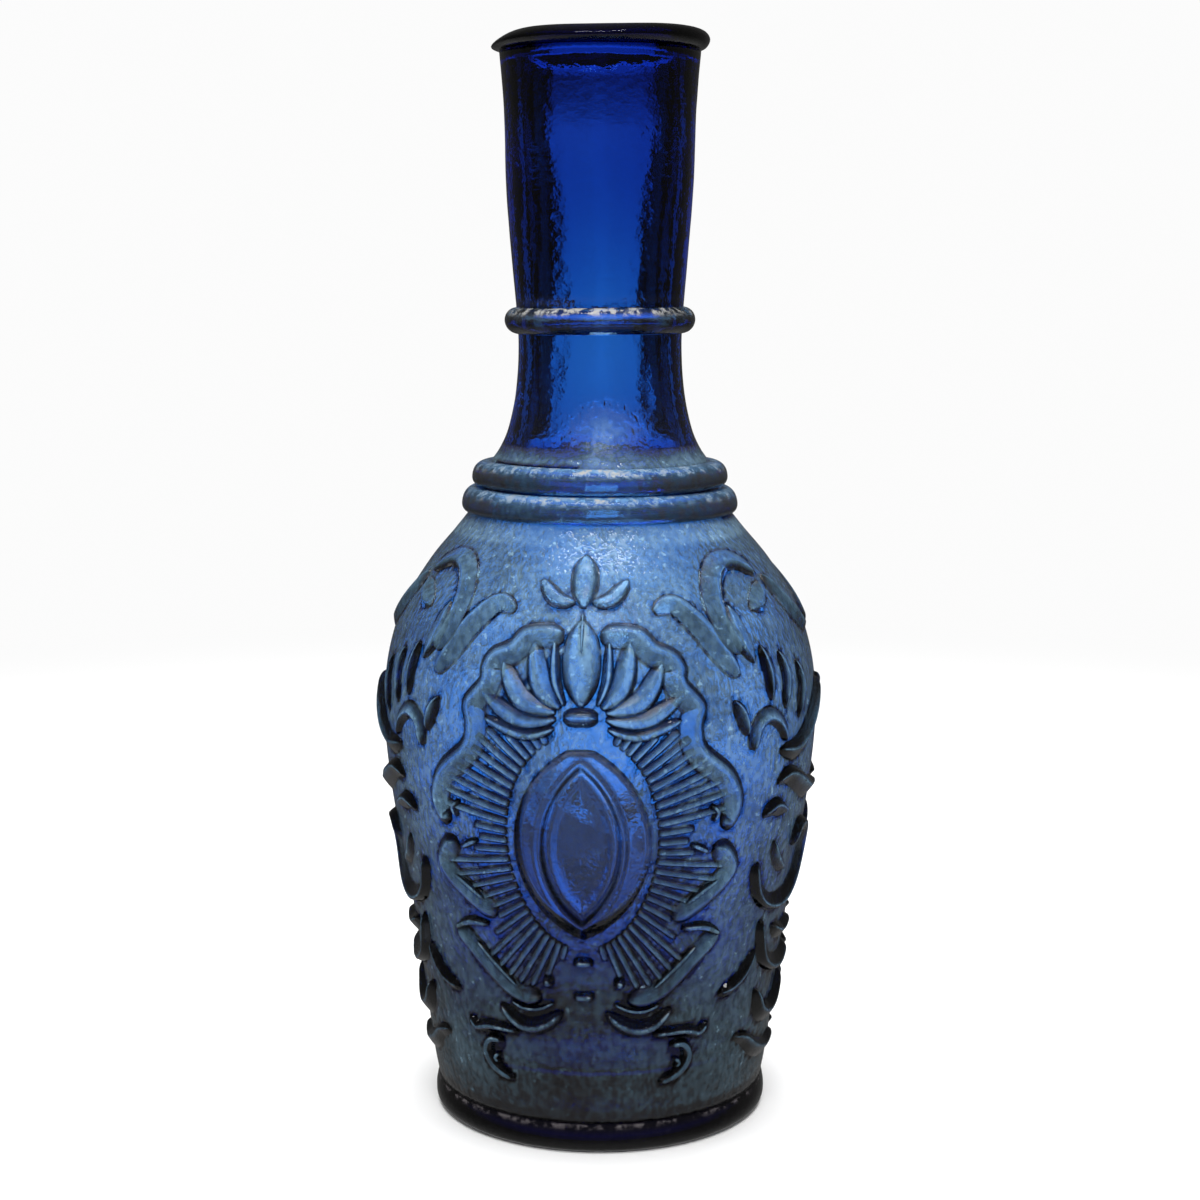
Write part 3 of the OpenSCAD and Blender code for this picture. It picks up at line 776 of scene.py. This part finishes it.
# %% Rays
# Inner outline of the frame on one half, in degrees and mm
FIELD = np.array([(0, 98), (9, 98.6), (16, 97.6), (24, 99), (27, 97.5), (28.6, 94), (36.5, 87.5),
                  (39.8, 82), (38, 79), (33, 79.5), (29, 76.5), (28, 73.5), (31, 70.5), (37, 69.5),
                  (40.6, 66.5), (39, 64.8), (31, 60.5), (24.5, 56.5), (26.5, 51.2), (35, 50.4),
                  (30.5, 46), (21.5, 40.4), (14, 39.6), (4, 49), (0, 49)], float)
RAYS, RAY_FROM, RAY_TO = 31, -80, 70
RAY = dict(width=2.1, rise=0.55, across=9, step=0.9, near=0.3, far=0.7)


def reach_to_field(start, end):
    """How far along start-to-end the field's outline is first crossed, as a fraction."""
    a, b = FIELD[:-1], FIELD[1:]
    d, e = end - start, b - a
    cross = d[0] * e[:, 1] - d[1] * e[:, 0]
    cross = np.where(np.abs(cross) < 1e-9, 1e-9, cross)
    t = ((a[:, 0] - start[0]) * e[:, 1] - (a[:, 1] - start[1]) * e[:, 0]) / cross
    u = ((a[:, 0] - start[0]) * d[1] - (a[:, 1] - start[1]) * d[0]) / cross
    hit = (u >= 0) & (u <= 1) & (t > 0.02)
    return t[hit].min() if hit.any() else 0


def ray_strokes():
    """Rays of one half, from low to high round the jewel."""
    found = []
    for angle in np.linspace(RAY_FROM, RAY_TO, RAYS):
        c, s = np.cos(np.radians(angle)), np.sin(np.radians(angle))
        start = np.array([19.6 * c, JEWEL_Z + 24.4 * s])
        end = np.array([60 * c, JEWEL_Z + 54 * s])
        t = reach_to_field(start, end)
        tip = start + (end - start) * t
        if t > 0.06:
            keys = [tuple(start), tuple((start + tip) / 2), tuple(tip)]
            found.append((keys, RAY))
    return found


rays_found = ray_strokes()
print("rays on each half:", len(rays_found))

# %% [markdown]
# ## The scrollwork at the sides
# Between the medallions an arch springs from the shoulder, and leaves like fingers, curls and
# one large volute fill the belly down to the foot. Degrees count from the mould seam, and each
# side is its own mirror image, so one list of strokes makes all four quarters.

# %% Scrollwork
LEAF = dict(taper=0.7, near=0.3, far=0.68)
TURNED = dict(taper=0.7, near=0.68, far=0.3)
SCROLL = dict(taper=0.25, near=0.68, far=0.3)
scroll_strokes = [
    ([(45, 114), (49, 119), (50, 125), (47, 130), (41, 132.6), (33, 132.6), (25, 129.6)],
     dict(width=6.4, rise=1.1, **SCROLL)),
    ([(22.5, 128.6), (17, 122.8), (9, 117), (3, 115)], dict(width=6, rise=1.4, **LEAF)),
    ([(26, 127.6), (31, 124.4), (37, 122.4)], dict(width=6, rise=1.0, **LEAF)),
    ([(45.4, 124), (44.5, 118), (41, 111.5)], dict(width=5.6, rise=1.1, **TURNED)),
    ([(38, 115), (36, 109), (36.5, 102.6)], dict(width=4.6, rise=1.4, **TURNED)),
    ([(30.5, 113), (28, 107), (30.5, 100)], dict(width=5.2, rise=1.2, **TURNED)),
    ([(22, 110), (19.6, 104), (23.5, 97)], dict(width=5.2, rise=1.2, **TURNED)),
    ([(44, 92.5), (42.5, 97.5), (38, 99.6), (33, 97.4), (30, 93)],
     dict(width=4.4, rise=1.3, **SCROLL)),
    ([(50, 104), (47.5, 100.6), (46, 96)], dict(width=4.0, rise=1.3, **LEAF)),
    ([(33, 91), (26, 90), (19, 92), (11, 97), (3, 103)], dict(width=6.6, rise=2.0, **LEAF)),
    ([(33, 83.5), (28, 84.5), (21, 82), (13, 79), (3, 79)], dict(width=6, rise=2.0, **LEAF)),
    ([(38, 76.5), (33, 78), (27, 75.6)], dict(width=4.6, rise=1.8, **LEAF)),
    ([(38, 65.5), (35, 58.5), (29, 54.8), (20, 54), (11, 57), (6, 62.5), (8, 68.5), (15, 70),
      (18, 66)],
     dict(width=4.8, rise=2.0, **SCROLL)),
    ([(31, 69.5), (28, 65), (22, 61)], dict(width=4, rise=1.2, **LEAF)),
    ([(31, 50.5), (29, 45.5), (26, 41), (19, 38), (10, 37.5), (2, 39.5)],
     dict(width=4.8, rise=2.0, **SCROLL)),
    ([(23, 47.4), (15, 44.8), (5, 46.5)], dict(width=4.8, rise=1.8, **LEAF)),
    ([(28.5, 33.4), (24, 27.5), (16, 25.5), (7, 28), (2, 32.5)], dict(width=5.6, rise=2.0, **LEAF)),
    ([(38, 23.5), (32, 22), (25, 18.5), (15, 16.5), (4, 18)], dict(width=5.2, rise=1.6, **LEAF)),
    ([(47, 35.6), (42, 36.2), (37, 38.5), (32, 43.6)], dict(width=4.6, rise=1.8, **LEAF)),
]
print("strokes on each half of a side:", len(scroll_strokes))

# %% [markdown]
# ## Cobalt glass
# Real coloured glass takes its colour from its thickness. A blue surface would be simpler, but
# the thin neck and the thick foot would then be alike, so the blue is an absorption inside the
# solid and the surface stays nearly clear. These helpers build the nodes that every glass needs.

# %% Shader helpers
PER_METRE = 1000


def node(tree, kind, **values):
    """A new shader node with the named inputs set to plain numbers or linked to sockets."""
    made = tree.nodes.new(kind)
    for name, value in values.items():
        key = int(name[1:]) if name[0] == "i" and name[1:].isdigit() else name.replace("_", " ")
        socket = made.inputs[key]
        if isinstance(value, bpy.types.NodeSocket):
            tree.links.new(value, socket)
        else:
            socket.default_value = value
    return made


def object_point(tree, squeeze=1.0):
    """Object coordinates in millimetres. A squeeze below 1 draws patterns out upwards."""
    coords = tree.nodes.new("ShaderNodeTexCoord")
    mapping = node(tree, "ShaderNodeMapping", Vector=coords.outputs["Object"])
    mapping.inputs["Scale"].default_value = (PER_METRE, PER_METRE, PER_METRE * squeeze)
    return mapping.outputs["Vector"]


def noise(tree, point, pitch, detail=3.0, rough=0.55):
    """Soft noise from 0 to 1 with lumps about one pitch in mm apart."""
    made = node(tree, "ShaderNodeTexNoise", Vector=point, Scale=1.0 / pitch, Detail=detail,
                Roughness=rough)
    return made.outputs["Fac"]


def ramp(tree, value, low_in, high_in, low_out=0.0, high_out=1.0):
    """Maps a value from one range to another with a soft start and end."""
    made = tree.nodes.new("ShaderNodeMapRange")
    made.interpolation_type = "SMOOTHSTEP"
    tree.links.new(value, made.inputs["Value"])
    names = ("From Min", "From Max", "To Min", "To Max")
    for name, number in zip(names, (low_in, high_in, low_out, high_out)):
        made.inputs[name].default_value = number
    return made.outputs["Result"]


def maths(tree, operation, a, b=0.0):
    """One sum, product or other operation on two numbers or sockets."""
    made = tree.nodes.new("ShaderNodeMath")
    made.operation = operation
    for socket, value in zip(made.inputs, (a, b)):
        if isinstance(value, bpy.types.NodeSocket):
            tree.links.new(value, socket)
        else:
            socket.default_value = value
    return made.outputs[0]


def blend_colour(tree, amount, a, b):
    """Colour a where the amount is 0 and colour b where it is 1."""
    made = tree.nodes.new("ShaderNodeMix")
    made.data_type = "RGBA"
    tree.links.new(amount, made.inputs["Factor"])
    for socket, value in ((made.inputs["A"], a), (made.inputs["B"], b)):
        if isinstance(value, bpy.types.NodeSocket):
            tree.links.new(value, socket)
        else:
            socket.default_value = (*value, 1)
    return made.outputs["Result"]


def height_of(tree):
    """Height above the table in mm."""
    coords = tree.nodes.new("ShaderNodeTexCoord")
    split = node(tree, "ShaderNodeSeparateXYZ", Vector=coords.outputs["Object"])
    return maths(tree, "MULTIPLY", split.outputs["Z"], PER_METRE)


def carried(tree, label):
    """The number that the mesh's points carry under a label."""
    made = tree.nodes.new("ShaderNodeAttribute")
    made.attribute_name = label
    return made.outputs["Fac"]


# %% [markdown]
# ## The surface of old glass
# On the clean surface lies what age and the mould left: a stippled ground, soft ripples, pale dust
# and crumbs in the corners. Painted over it are highlights and glints, a blue glow on the rings and
# the relief, and shade that darkens the steep sides. Dust could be a second shader mixed over the
# glass. Here one Principled surface goes from see-through to dull as its transmission falls, which
# keeps the absorption inside and makes one material.

# %% Glass
COBALT = (0.04, 0.53, 0.845)
CLEAR, PALEST, OLIVE = (0.88, 0.94, 0.99), (0.97, 0.99, 1.0), (0.25, 0.28, 0.20)
DEEP, THICK = (0.62, 0.56, 0.84), (0.42, 0.38, 0.44)
# Film colours: pale blue dust on the wall, and bluer colours on the rings and the relief that paint
# the blue light their curved glass bends away
DUST, DUST_AND_RING_GLOW, DUST_AND_RELIEF_GLOW = (0.42, 0.71, 0.95), (0.24, 0.50, 0.84), (0.36, 0.68, 0.99)
# Cream of the crumbs, which also paints glints, and the black and brown of the painted shade on
# steep sides
CRUMB_AND_GLINT, PAINTED_SHADE_BLACK, PAINTED_SHADE_BROWN = (0.44, 0.41, 0.33), (0.004, 0.008, 0.02), (0.10, 0.09, 0.07)
# Heights in mm over which the tint changes, and over which the painted shade turns from black to
# brown
DEEP_NECK, THICK_BASE, BROWN_SHADE_HEIGHTS = (188, 236), (64, 24), (106, 122)
# Distance in mm between the lumps of each pattern
CLOUD, DASH, SPECK, CRUMBLE, WAVE = 14.0, 1.3, 1.6, 2.6, 2.2
# Film cover over which clean glass turns to filmed glass, and the roughness of clean glass
FILM_SHOWS = (0.01, 0.035)
CLEAN_ROUGH = 0.02


def dust_crumbs_and_glints(tree, cover, dashes):
    """The film with its painted highlights broken into clouds, dashes and specks, and the residue
    with its painted glints broken into crumbs.
    """
    point = object_point(tree)
    cloud = ramp(tree, noise(tree, point, CLOUD), 0.3, 0.7, 0.75, 1.2)
    specks = ramp(tree, noise(tree, point, SPECK, 5.0), 0.60, 0.72, 0.0, 1.2)
    cover = maths(tree, "MULTIPLY", cover, ramp(tree, dashes, 0.3, 0.7, 0.72, 1.28))
    dust_and_highlight = maths(tree, "MULTIPLY", cover, maths(tree, "ADD", cloud, specks))
    dust_and_highlight = maths(tree, "MINIMUM", dust_and_highlight, 0.85)
    broken = ramp(tree, noise(tree, point, CRUMBLE, 6.0, 0.7), 0.46, 0.62)
    crumbs_and_glints = maths(tree, "MULTIPLY", carried(tree, "residue_and_glint"), broken)
    return cover, dust_and_highlight, crumbs_and_glints


def surface_colour(tree, dust_and_highlight, crumbs_and_glints, clean, dust_and_glow, shaded):
    """Clean tint by height, then dust with painted highlights and glow, then the painted shade of
    steep sides, then crumbs with painted glints on top.
    """
    height = height_of(tree)
    clear = blend_colour(tree, ramp(tree, height, *DEEP_NECK), clean, DEEP)
    clear = blend_colour(tree, ramp(tree, height, *THICK_BASE), clear, THICK)
    filmed_and_highlit = blend_colour(tree, ramp(tree, dust_and_highlight, 0.02, 0.12), clear, dust_and_glow)
    # The painted shade of steep sides, black on the belly and brown on the shoulder
    dark = blend_colour(tree, ramp(tree, height, *BROWN_SHADE_HEIGHTS), PAINTED_SHADE_BLACK, PAINTED_SHADE_BROWN)
    painted_shade = maths(tree, "MULTIPLY", carried(tree, "shade"), shaded)
    return blend_colour(tree, crumbs_and_glints, blend_colour(tree, painted_shade, filmed_and_highlit, dark), CRUMB_AND_GLINT)


def cobalt_glass(name, density, film_and_highlight=1.0, stipple=0.0, ripples=0.0, frost=0.09, clean=CLEAR,
                 shaded=0.0, dust_and_glow=DUST):
    """Cobalt glass: the film factor scales the dust and its painted highlights, stipple and ripples
    are bump heights in mm.

    density is how fast the blue deepens with thickness. frost is the roughness of filmed glass,
    clean is the surface's own tint, and shaded is how far the painted shade darkens steep sides."""
    material = bpy.data.materials.new(name)
    material.use_nodes = True
    tree = material.node_tree
    tree.nodes.clear()
    output = tree.nodes.new("ShaderNodeOutputMaterial")
    shader = tree.nodes.new("ShaderNodeBsdfPrincipled")
    tree.links.new(shader.outputs["BSDF"], output.inputs["Surface"])
    inside = tree.nodes.new("ShaderNodeVolumeAbsorption")
    inside.inputs["Color"].default_value = (*COBALT, 1)
    inside.inputs["Density"].default_value = density
    tree.links.new(inside.outputs["Volume"], output.inputs["Volume"])
    shader.inputs["IOR"].default_value = 1.5

    dashes = noise(tree, object_point(tree, 0.6), DASH, 1.0)
    cover = maths(tree, "MULTIPLY", carried(tree, "film_and_highlight"), film_and_highlight)
    cover, dust_and_highlight, crumbs_and_glints = dust_crumbs_and_glints(tree, cover, dashes)
    colour = surface_colour(tree, dust_and_highlight, crumbs_and_glints, clean, dust_and_glow, shaded)
    tree.links.new(colour, shader.inputs["Base Color"])
    left = maths(tree, "MULTIPLY", maths(tree, "SUBTRACT", 1.0, dust_and_highlight),
                 maths(tree, "SUBTRACT", 1.0, crumbs_and_glints))
    tree.links.new(left, shader.inputs["Transmission Weight"])
    rough = ramp(tree, cover, *FILM_SHOWS, CLEAN_ROUGH, frost)
    tree.links.new(rough, shader.inputs["Roughness"])

    grain = maths(tree, "MULTIPLY", dashes, ramp(tree, cover, *FILM_SHOWS))
    waves = noise(tree, object_point(tree, 1.3), WAVE, 2.0)
    relief = maths(tree, "ADD", maths(tree, "MULTIPLY", grain, stipple),
                   maths(tree, "MULTIPLY", waves, ripples))
    bump = node(tree, "ShaderNodeBump", Strength=1.0, Distance=MM, Height=relief)
    tree.links.new(bump.outputs["Normal"], shader.inputs["Normal"])
    return material


# The relief takes more film than the wall, which with its bluer colour paints the light its sloping
# glass bends away
glass_for = {
    "vessel_glass": cobalt_glass("Cobalt vessel glass", 600, stipple=0.22, ripples=0.08),
    "lip_glass": cobalt_glass("Heavy lip glass", 3000, ripples=0.08, clean=OLIVE),
    "ring_glass": cobalt_glass("Ring glass", 250, ripples=0.06, frost=0.06, clean=PALEST,
                               dust_and_glow=DUST_AND_RING_GLOW),
    "foot_glass": cobalt_glass("Heavy foot glass", 3000, film_and_highlight=0.3, ripples=0.06, frost=0.1,
                               clean=OLIVE),
    "relief_glass": cobalt_glass("Moulded relief glass", 110, film_and_highlight=1.2, stipple=0.05,
                                 ripples=0.05, frost=0.14, clean=PALEST, shaded=0.9, dust_and_glow=DUST_AND_RELIEF_GLOW),
    "jewel_glass": cobalt_glass("Jewel glass", 150, film_and_highlight=0.28, ripples=0.06, frost=0.08,
                                clean=PALEST, shaded=1.0),
}
print("glasses:", ", ".join(glass_for))

# %% [markdown]
# ## Putting the pieces on the frame
# Nothing moves on this bottle, so every piece rides on the one body. Each piece stands for its own
# node of the imported model and takes the finish of that node's slot. The ornament could be one
# mesh, but separate pieces keep each motif replaceable. Shallow motifs carry less painted shade and
# less residue with painted glints, so they have a share below 1.

# %% Ride, replace and finish
RELIEF = {"rays": 0.6, "palmette": 0.75, "finial": 0.8}
RIGHT, LEFT = 90, -90


def settle(piece, cad_node, slot):
    """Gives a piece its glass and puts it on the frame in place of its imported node."""
    piece.data.materials.clear()
    piece.data.materials.append(glass_for[slot])
    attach(piece, "root")
    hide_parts(cad_node)


settle(vessel, "blown_vessel", "vessel_glass")
settle(lip, "applied_lip", "lip_glass")
settle(neck_ring, "neck_ring", "ring_glass")
settle(upper_collar, "upper_collar", "ring_glass")
settle(lower_collar, "lower_collar", "ring_glass")
settle(foot, "foot_ring", "foot_glass")

raised_pieces = [neck_ring, upper_collar, lower_collar]

for side_name, facing in (("front", FRONT), ("rear", REAR)):
    motifs = {
        "frame": mirrored(frame_strokes, facing),
        "palmette": mirrored(palmette_strokes, facing) + single(palmette_middle + boss, facing),
        "finial": mirrored(finial_strokes, facing) + single(finial_middle, facing),
        "jewel": [jewel_part(facing)],
        "rays": mirrored(rays_found, facing),
        "studs": mirrored(stud_strokes, facing) + single(stud_middle, facing),
        "curls": mirrored(curl_strokes, facing),
    }
    for motif, parts in motifs.items():
        made = piece_from(f"{side_name}_{motif}_glass", parts, RELIEF.get(motif, 1.0))
        slot = "jewel_glass" if motif == "jewel" else "relief_glass"
        settle(made, f"{side_name}_{motif}", slot)
        raised_pieces.append(made)
        print(made.name, "faces:", len(made.data.polygons), "cm3:", round(enclosed(parts), 2))

for side_name, facing in (("right", RIGHT), ("left", LEFT)):
    parts = mirrored(scroll_strokes, facing)
    made = piece_from(f"{side_name}_scrollwork_glass", parts)
    settle(made, f"{side_name}_scrollwork", "relief_glass")
    raised_pieces.append(made)
    print(made.name, "faces:", len(made.data.polygons), "cm3:", round(enclosed(parts), 2))

# %% [markdown]
# ## The covered ground
# Under a raised piece the wall is bare glass: no film ever reached it. A ray cast out from every
# point of the wall could find the covered ones. It is quicker to divide the wall into small
# cells round and up the bottle, mark every cell that a raised piece covers, and wipe the
# vessel's film and residue from the marked cells.

# %% Wipe the covered ground
CELL_DEG, CELL_MM = 1.2, 1.0
CLEAR_OF_WALL = 0.03


def cells_of(points):
    """Cell numbers round and up for points in mm."""
    turn = np.degrees(np.arctan2(points[:, 0], -points[:, 1])) % 360
    return (turn / CELL_DEG).astype(int) % int(360 / CELL_DEG), (points[:, 2] / CELL_MM).astype(int)


def points_of(piece):
    """All vertices of a piece, in mm."""
    flat = np.empty(len(piece.data.vertices) * 3, np.float32)
    piece.data.vertices.foreach_get("co", flat)
    return flat.reshape(-1, 3) / MM


covered = np.zeros((int(360 / CELL_DEG), int(TOP / CELL_MM) + 2), bool)
for piece in raised_pieces:
    points = points_of(piece)
    covered[cells_of(points[lift_of(points) > CLEAR_OF_WALL])] = True
bare = ~covered[cells_of(points_of(vessel))]
for label in ("film_and_highlight", "residue_and_glint"):
    layer = vessel.data.attributes[label]
    values = np.empty(len(bare), np.float32)
    layer.data.foreach_get("value", values)
    layer.data.foreach_set("value", values * bare)
print("share of the wall's points under a raised piece:", round(1 - float(bare.mean()), 3))

# %% [markdown]
# ## The studio
# Coloured glass is lit from behind. The bottle stands on a pale floor in a pale room, with a
# bright soft wall of light behind it and darker gaps beside that, which draw the glass's edges.

# %% Floor
PALE = 0.97
FLOOR_SIZE = 8
bpy.ops.mesh.primitive_plane_add(size=FLOOR_SIZE, location=(0, 0, 0))
floor = bpy.context.object
floor.name = "studio_floor"
floor_paint = bpy.data.materials.new("Pale floor")
floor_paint.use_nodes = True
ft = floor_paint.node_tree
ft.nodes.clear()
floor_out = ft.nodes.new("ShaderNodeOutputMaterial")
painted = node(ft, "ShaderNodeBsdfDiffuse", Color=(PALE, PALE, PALE, 1))
glow = node(ft, "ShaderNodeEmission", Color=(PALE, PALE, PALE, 1), Strength=1.0)
spot = ft.nodes.new("ShaderNodeTexCoord").outputs["Object"]
far = node(ft, "ShaderNodeVectorMath", i0=spot)
far.operation = "LENGTH"
# The paint keeps the bottle's soft shadow, and glows from 0.1 to 0.7 m away so no edge shows
fade = ramp(ft, far.outputs["Value"], 0.1, 0.7)
floor_mix = node(ft, "ShaderNodeMixShader", i0=fade, i1=painted.outputs["BSDF"],
                 i2=glow.outputs["Emission"])
ft.links.new(floor_mix.outputs["Shader"], floor_out.inputs["Surface"])
floor.data.materials.append(floor_paint)
floor.visible_transmission = False
floor.visible_glossy = False
floor.visible_diffuse = False
print("floor, m across:", FLOOR_SIZE)

# %% [markdown]
# ## The wall of light
# Glass shows what stands behind it. Real soft boxes could stand round the bottle, but then each
# view would need its own. Here the world is bright in four directions, a quarter turn apart and
# lined up with the camera, with dark gaps between them and a faint light inside each gap. Rays
# that leave the neck see narrow lights, and rays bent down by the belly see broad ones.
# Reflections see a dim room, and the camera itself sees a plain pale one.

# %% World
CAMERA_TURN = np.radians(4.7)
WHITE = (1, 1, 1, 1)
DIM = 0.07
# Ranges of a ray's rise, from -1 straight down to 1 straight up
LEVEL_RAYS, FADE_LOW, FADE_HIGH = (-0.21, -0.12), (-0.46, -0.22), (0.05, 0.24)
TABLE_GLOW, DIM_ROOM = (-0.35, -0.95), (-0.7, -0.2)
world = bpy.data.worlds.new("Studio")
bpy.context.scene.world = world
world.use_nodes = True
wt = world.node_tree
wt.nodes.clear()
world_out = wt.nodes.new("ShaderNodeOutputWorld")
direction = wt.nodes.new("ShaderNodeTexCoord").outputs["Generated"]
split = node(wt, "ShaderNodeSeparateXYZ", Vector=direction)
rise = split.outputs["Z"]
azimuth = maths(wt, "ARCTAN2", split.outputs["X"], split.outputs["Y"])
azimuth = maths(wt, "ADD", azimuth, float(CAMERA_TURN))
quarter = maths(wt, "COSINE", maths(wt, "MULTIPLY", azimuth, 4.0))
eighth = maths(wt, "COSINE", maths(wt, "MULTIPLY", azimuth, 8.0))
narrow = maths(wt, "MULTIPLY", ramp(wt, quarter, 0.72, 0.9), ramp(wt, rise, *LEVEL_RAYS))
broad = maths(wt, "MULTIPLY", ramp(wt, quarter, -0.85, 0.35, 0.05, 1.9),
              ramp(wt, rise, *LEVEL_RAYS[::-1]))
walls = maths(wt, "MAXIMUM", maths(wt, "ADD", narrow, broad), ramp(wt, eighth, 0.6, 1.0, 0.0, 0.4))
low = ramp(wt, rise, *FADE_LOW, 0.16, 1.0)
high = ramp(wt, rise, *FADE_HIGH, 1.0, 0.12)
bright = maths(wt, "MULTIPLY", maths(wt, "MULTIPLY", walls, low), high)
bright = maths(wt, "MAXIMUM", bright, ramp(wt, rise, *TABLE_GLOW, 0.0, 0.6))
path_kind = wt.nodes.new("ShaderNodeLightPath")
fill = maths(wt, "MULTIPLY", path_kind.outputs["Is Diffuse Ray"], 0.4)
fill = maths(wt, "ADD", fill, ramp(wt, rise, *DIM_ROOM, 0.3, DIM))
lamp = node(wt, "ShaderNodeBackground", Color=WHITE, Strength=bright)
dim = node(wt, "ShaderNodeBackground", Color=WHITE, Strength=fill)
pale = node(wt, "ShaderNodeBackground", Color=(PALE, PALE, PALE, 1))
through = node(wt, "ShaderNodeMixShader", i0=path_kind.outputs["Is Transmission Ray"],
               i1=dim.outputs["Background"], i2=lamp.outputs["Background"])
seen = node(wt, "ShaderNodeMixShader", i0=path_kind.outputs["Is Camera Ray"],
            i1=through.outputs["Shader"], i2=pale.outputs["Background"])
wt.links.new(seen.outputs["Shader"], world_out.inputs["Surface"])
print("world nodes:", len(wt.nodes))

# %% [markdown]
# ## The lamps
# Soft lamps light the dusty surface from above and in front. A sun would give it hard edges.
# Large lamps would mirror as white squares in the ridges, so two of them don't show in
# reflections, and a thin strip gives the glints instead.

# %% Lamps

def soft_light(name, place, aim, width, height, power):
    """A rectangular area light pointed at a place; it doesn't show to the camera."""
    lamp_data = bpy.data.lights.new(name, "AREA")
    lamp_data.shape = "RECTANGLE"
    lamp_data.size, lamp_data.size_y, lamp_data.energy = width, height, power
    light = bpy.data.objects.new(name, lamp_data)
    bpy.context.scene.collection.objects.link(light)
    light.location = place
    to = np.array(aim) - np.array(place)
    tilt = np.arctan2(np.hypot(to[0], to[1]), -to[2])
    light.rotation_euler = (tilt, 0, np.arctan2(-to[0], to[1]))
    light.visible_camera = False
    return light


overhead = soft_light("overhead", (0, 0.1, 1.4), (0, 0, 0), 1.2, 1.2, 26)
overhead.visible_glossy = False
soft_light("strip", (0, -0.3, 1.3), (0, 0, 0.1), 0.7, 0.07, 1.4)
front_light = soft_light("front", (0.1, -0.9, 1.1), (0, 0, 0.12), 0.6, 0.4, 7)
front_light.visible_glossy = False

# %% [markdown]
# ## The camera
# It looks slightly down on the bottle from half a metre away, turned a few degrees to the right
# of the medallion's middle. A farther camera with a longer lens would flatten the rings, whose
# ellipses open towards the foot. The plain Standard view keeps the pale room pale.

# %% Camera
CAMERA_FAR, CAMERA_UP, AIM_UP = 0.514, 0.198, 0.120
LENS_MM = 66.7
camera_data = bpy.data.cameras.new("Camera")
camera_data.lens = LENS_MM
camera_data.sensor_width = 36
camera_data.clip_start = 0.01
camera = bpy.data.objects.new("Camera", camera_data)
bpy.context.scene.collection.objects.link(camera)
camera.location = (CAMERA_FAR * np.sin(CAMERA_TURN), -CAMERA_FAR * np.cos(CAMERA_TURN), CAMERA_UP)
camera.rotation_euler = (np.pi / 2 - np.arctan2(CAMERA_UP - AIM_UP, CAMERA_FAR), 0, CAMERA_TURN)
bpy.context.scene.camera = camera
bpy.context.scene.view_settings.view_transform = "Standard"

print("camera tilt, degrees:", round(90 - float(np.degrees(camera.rotation_euler.x)), 2))
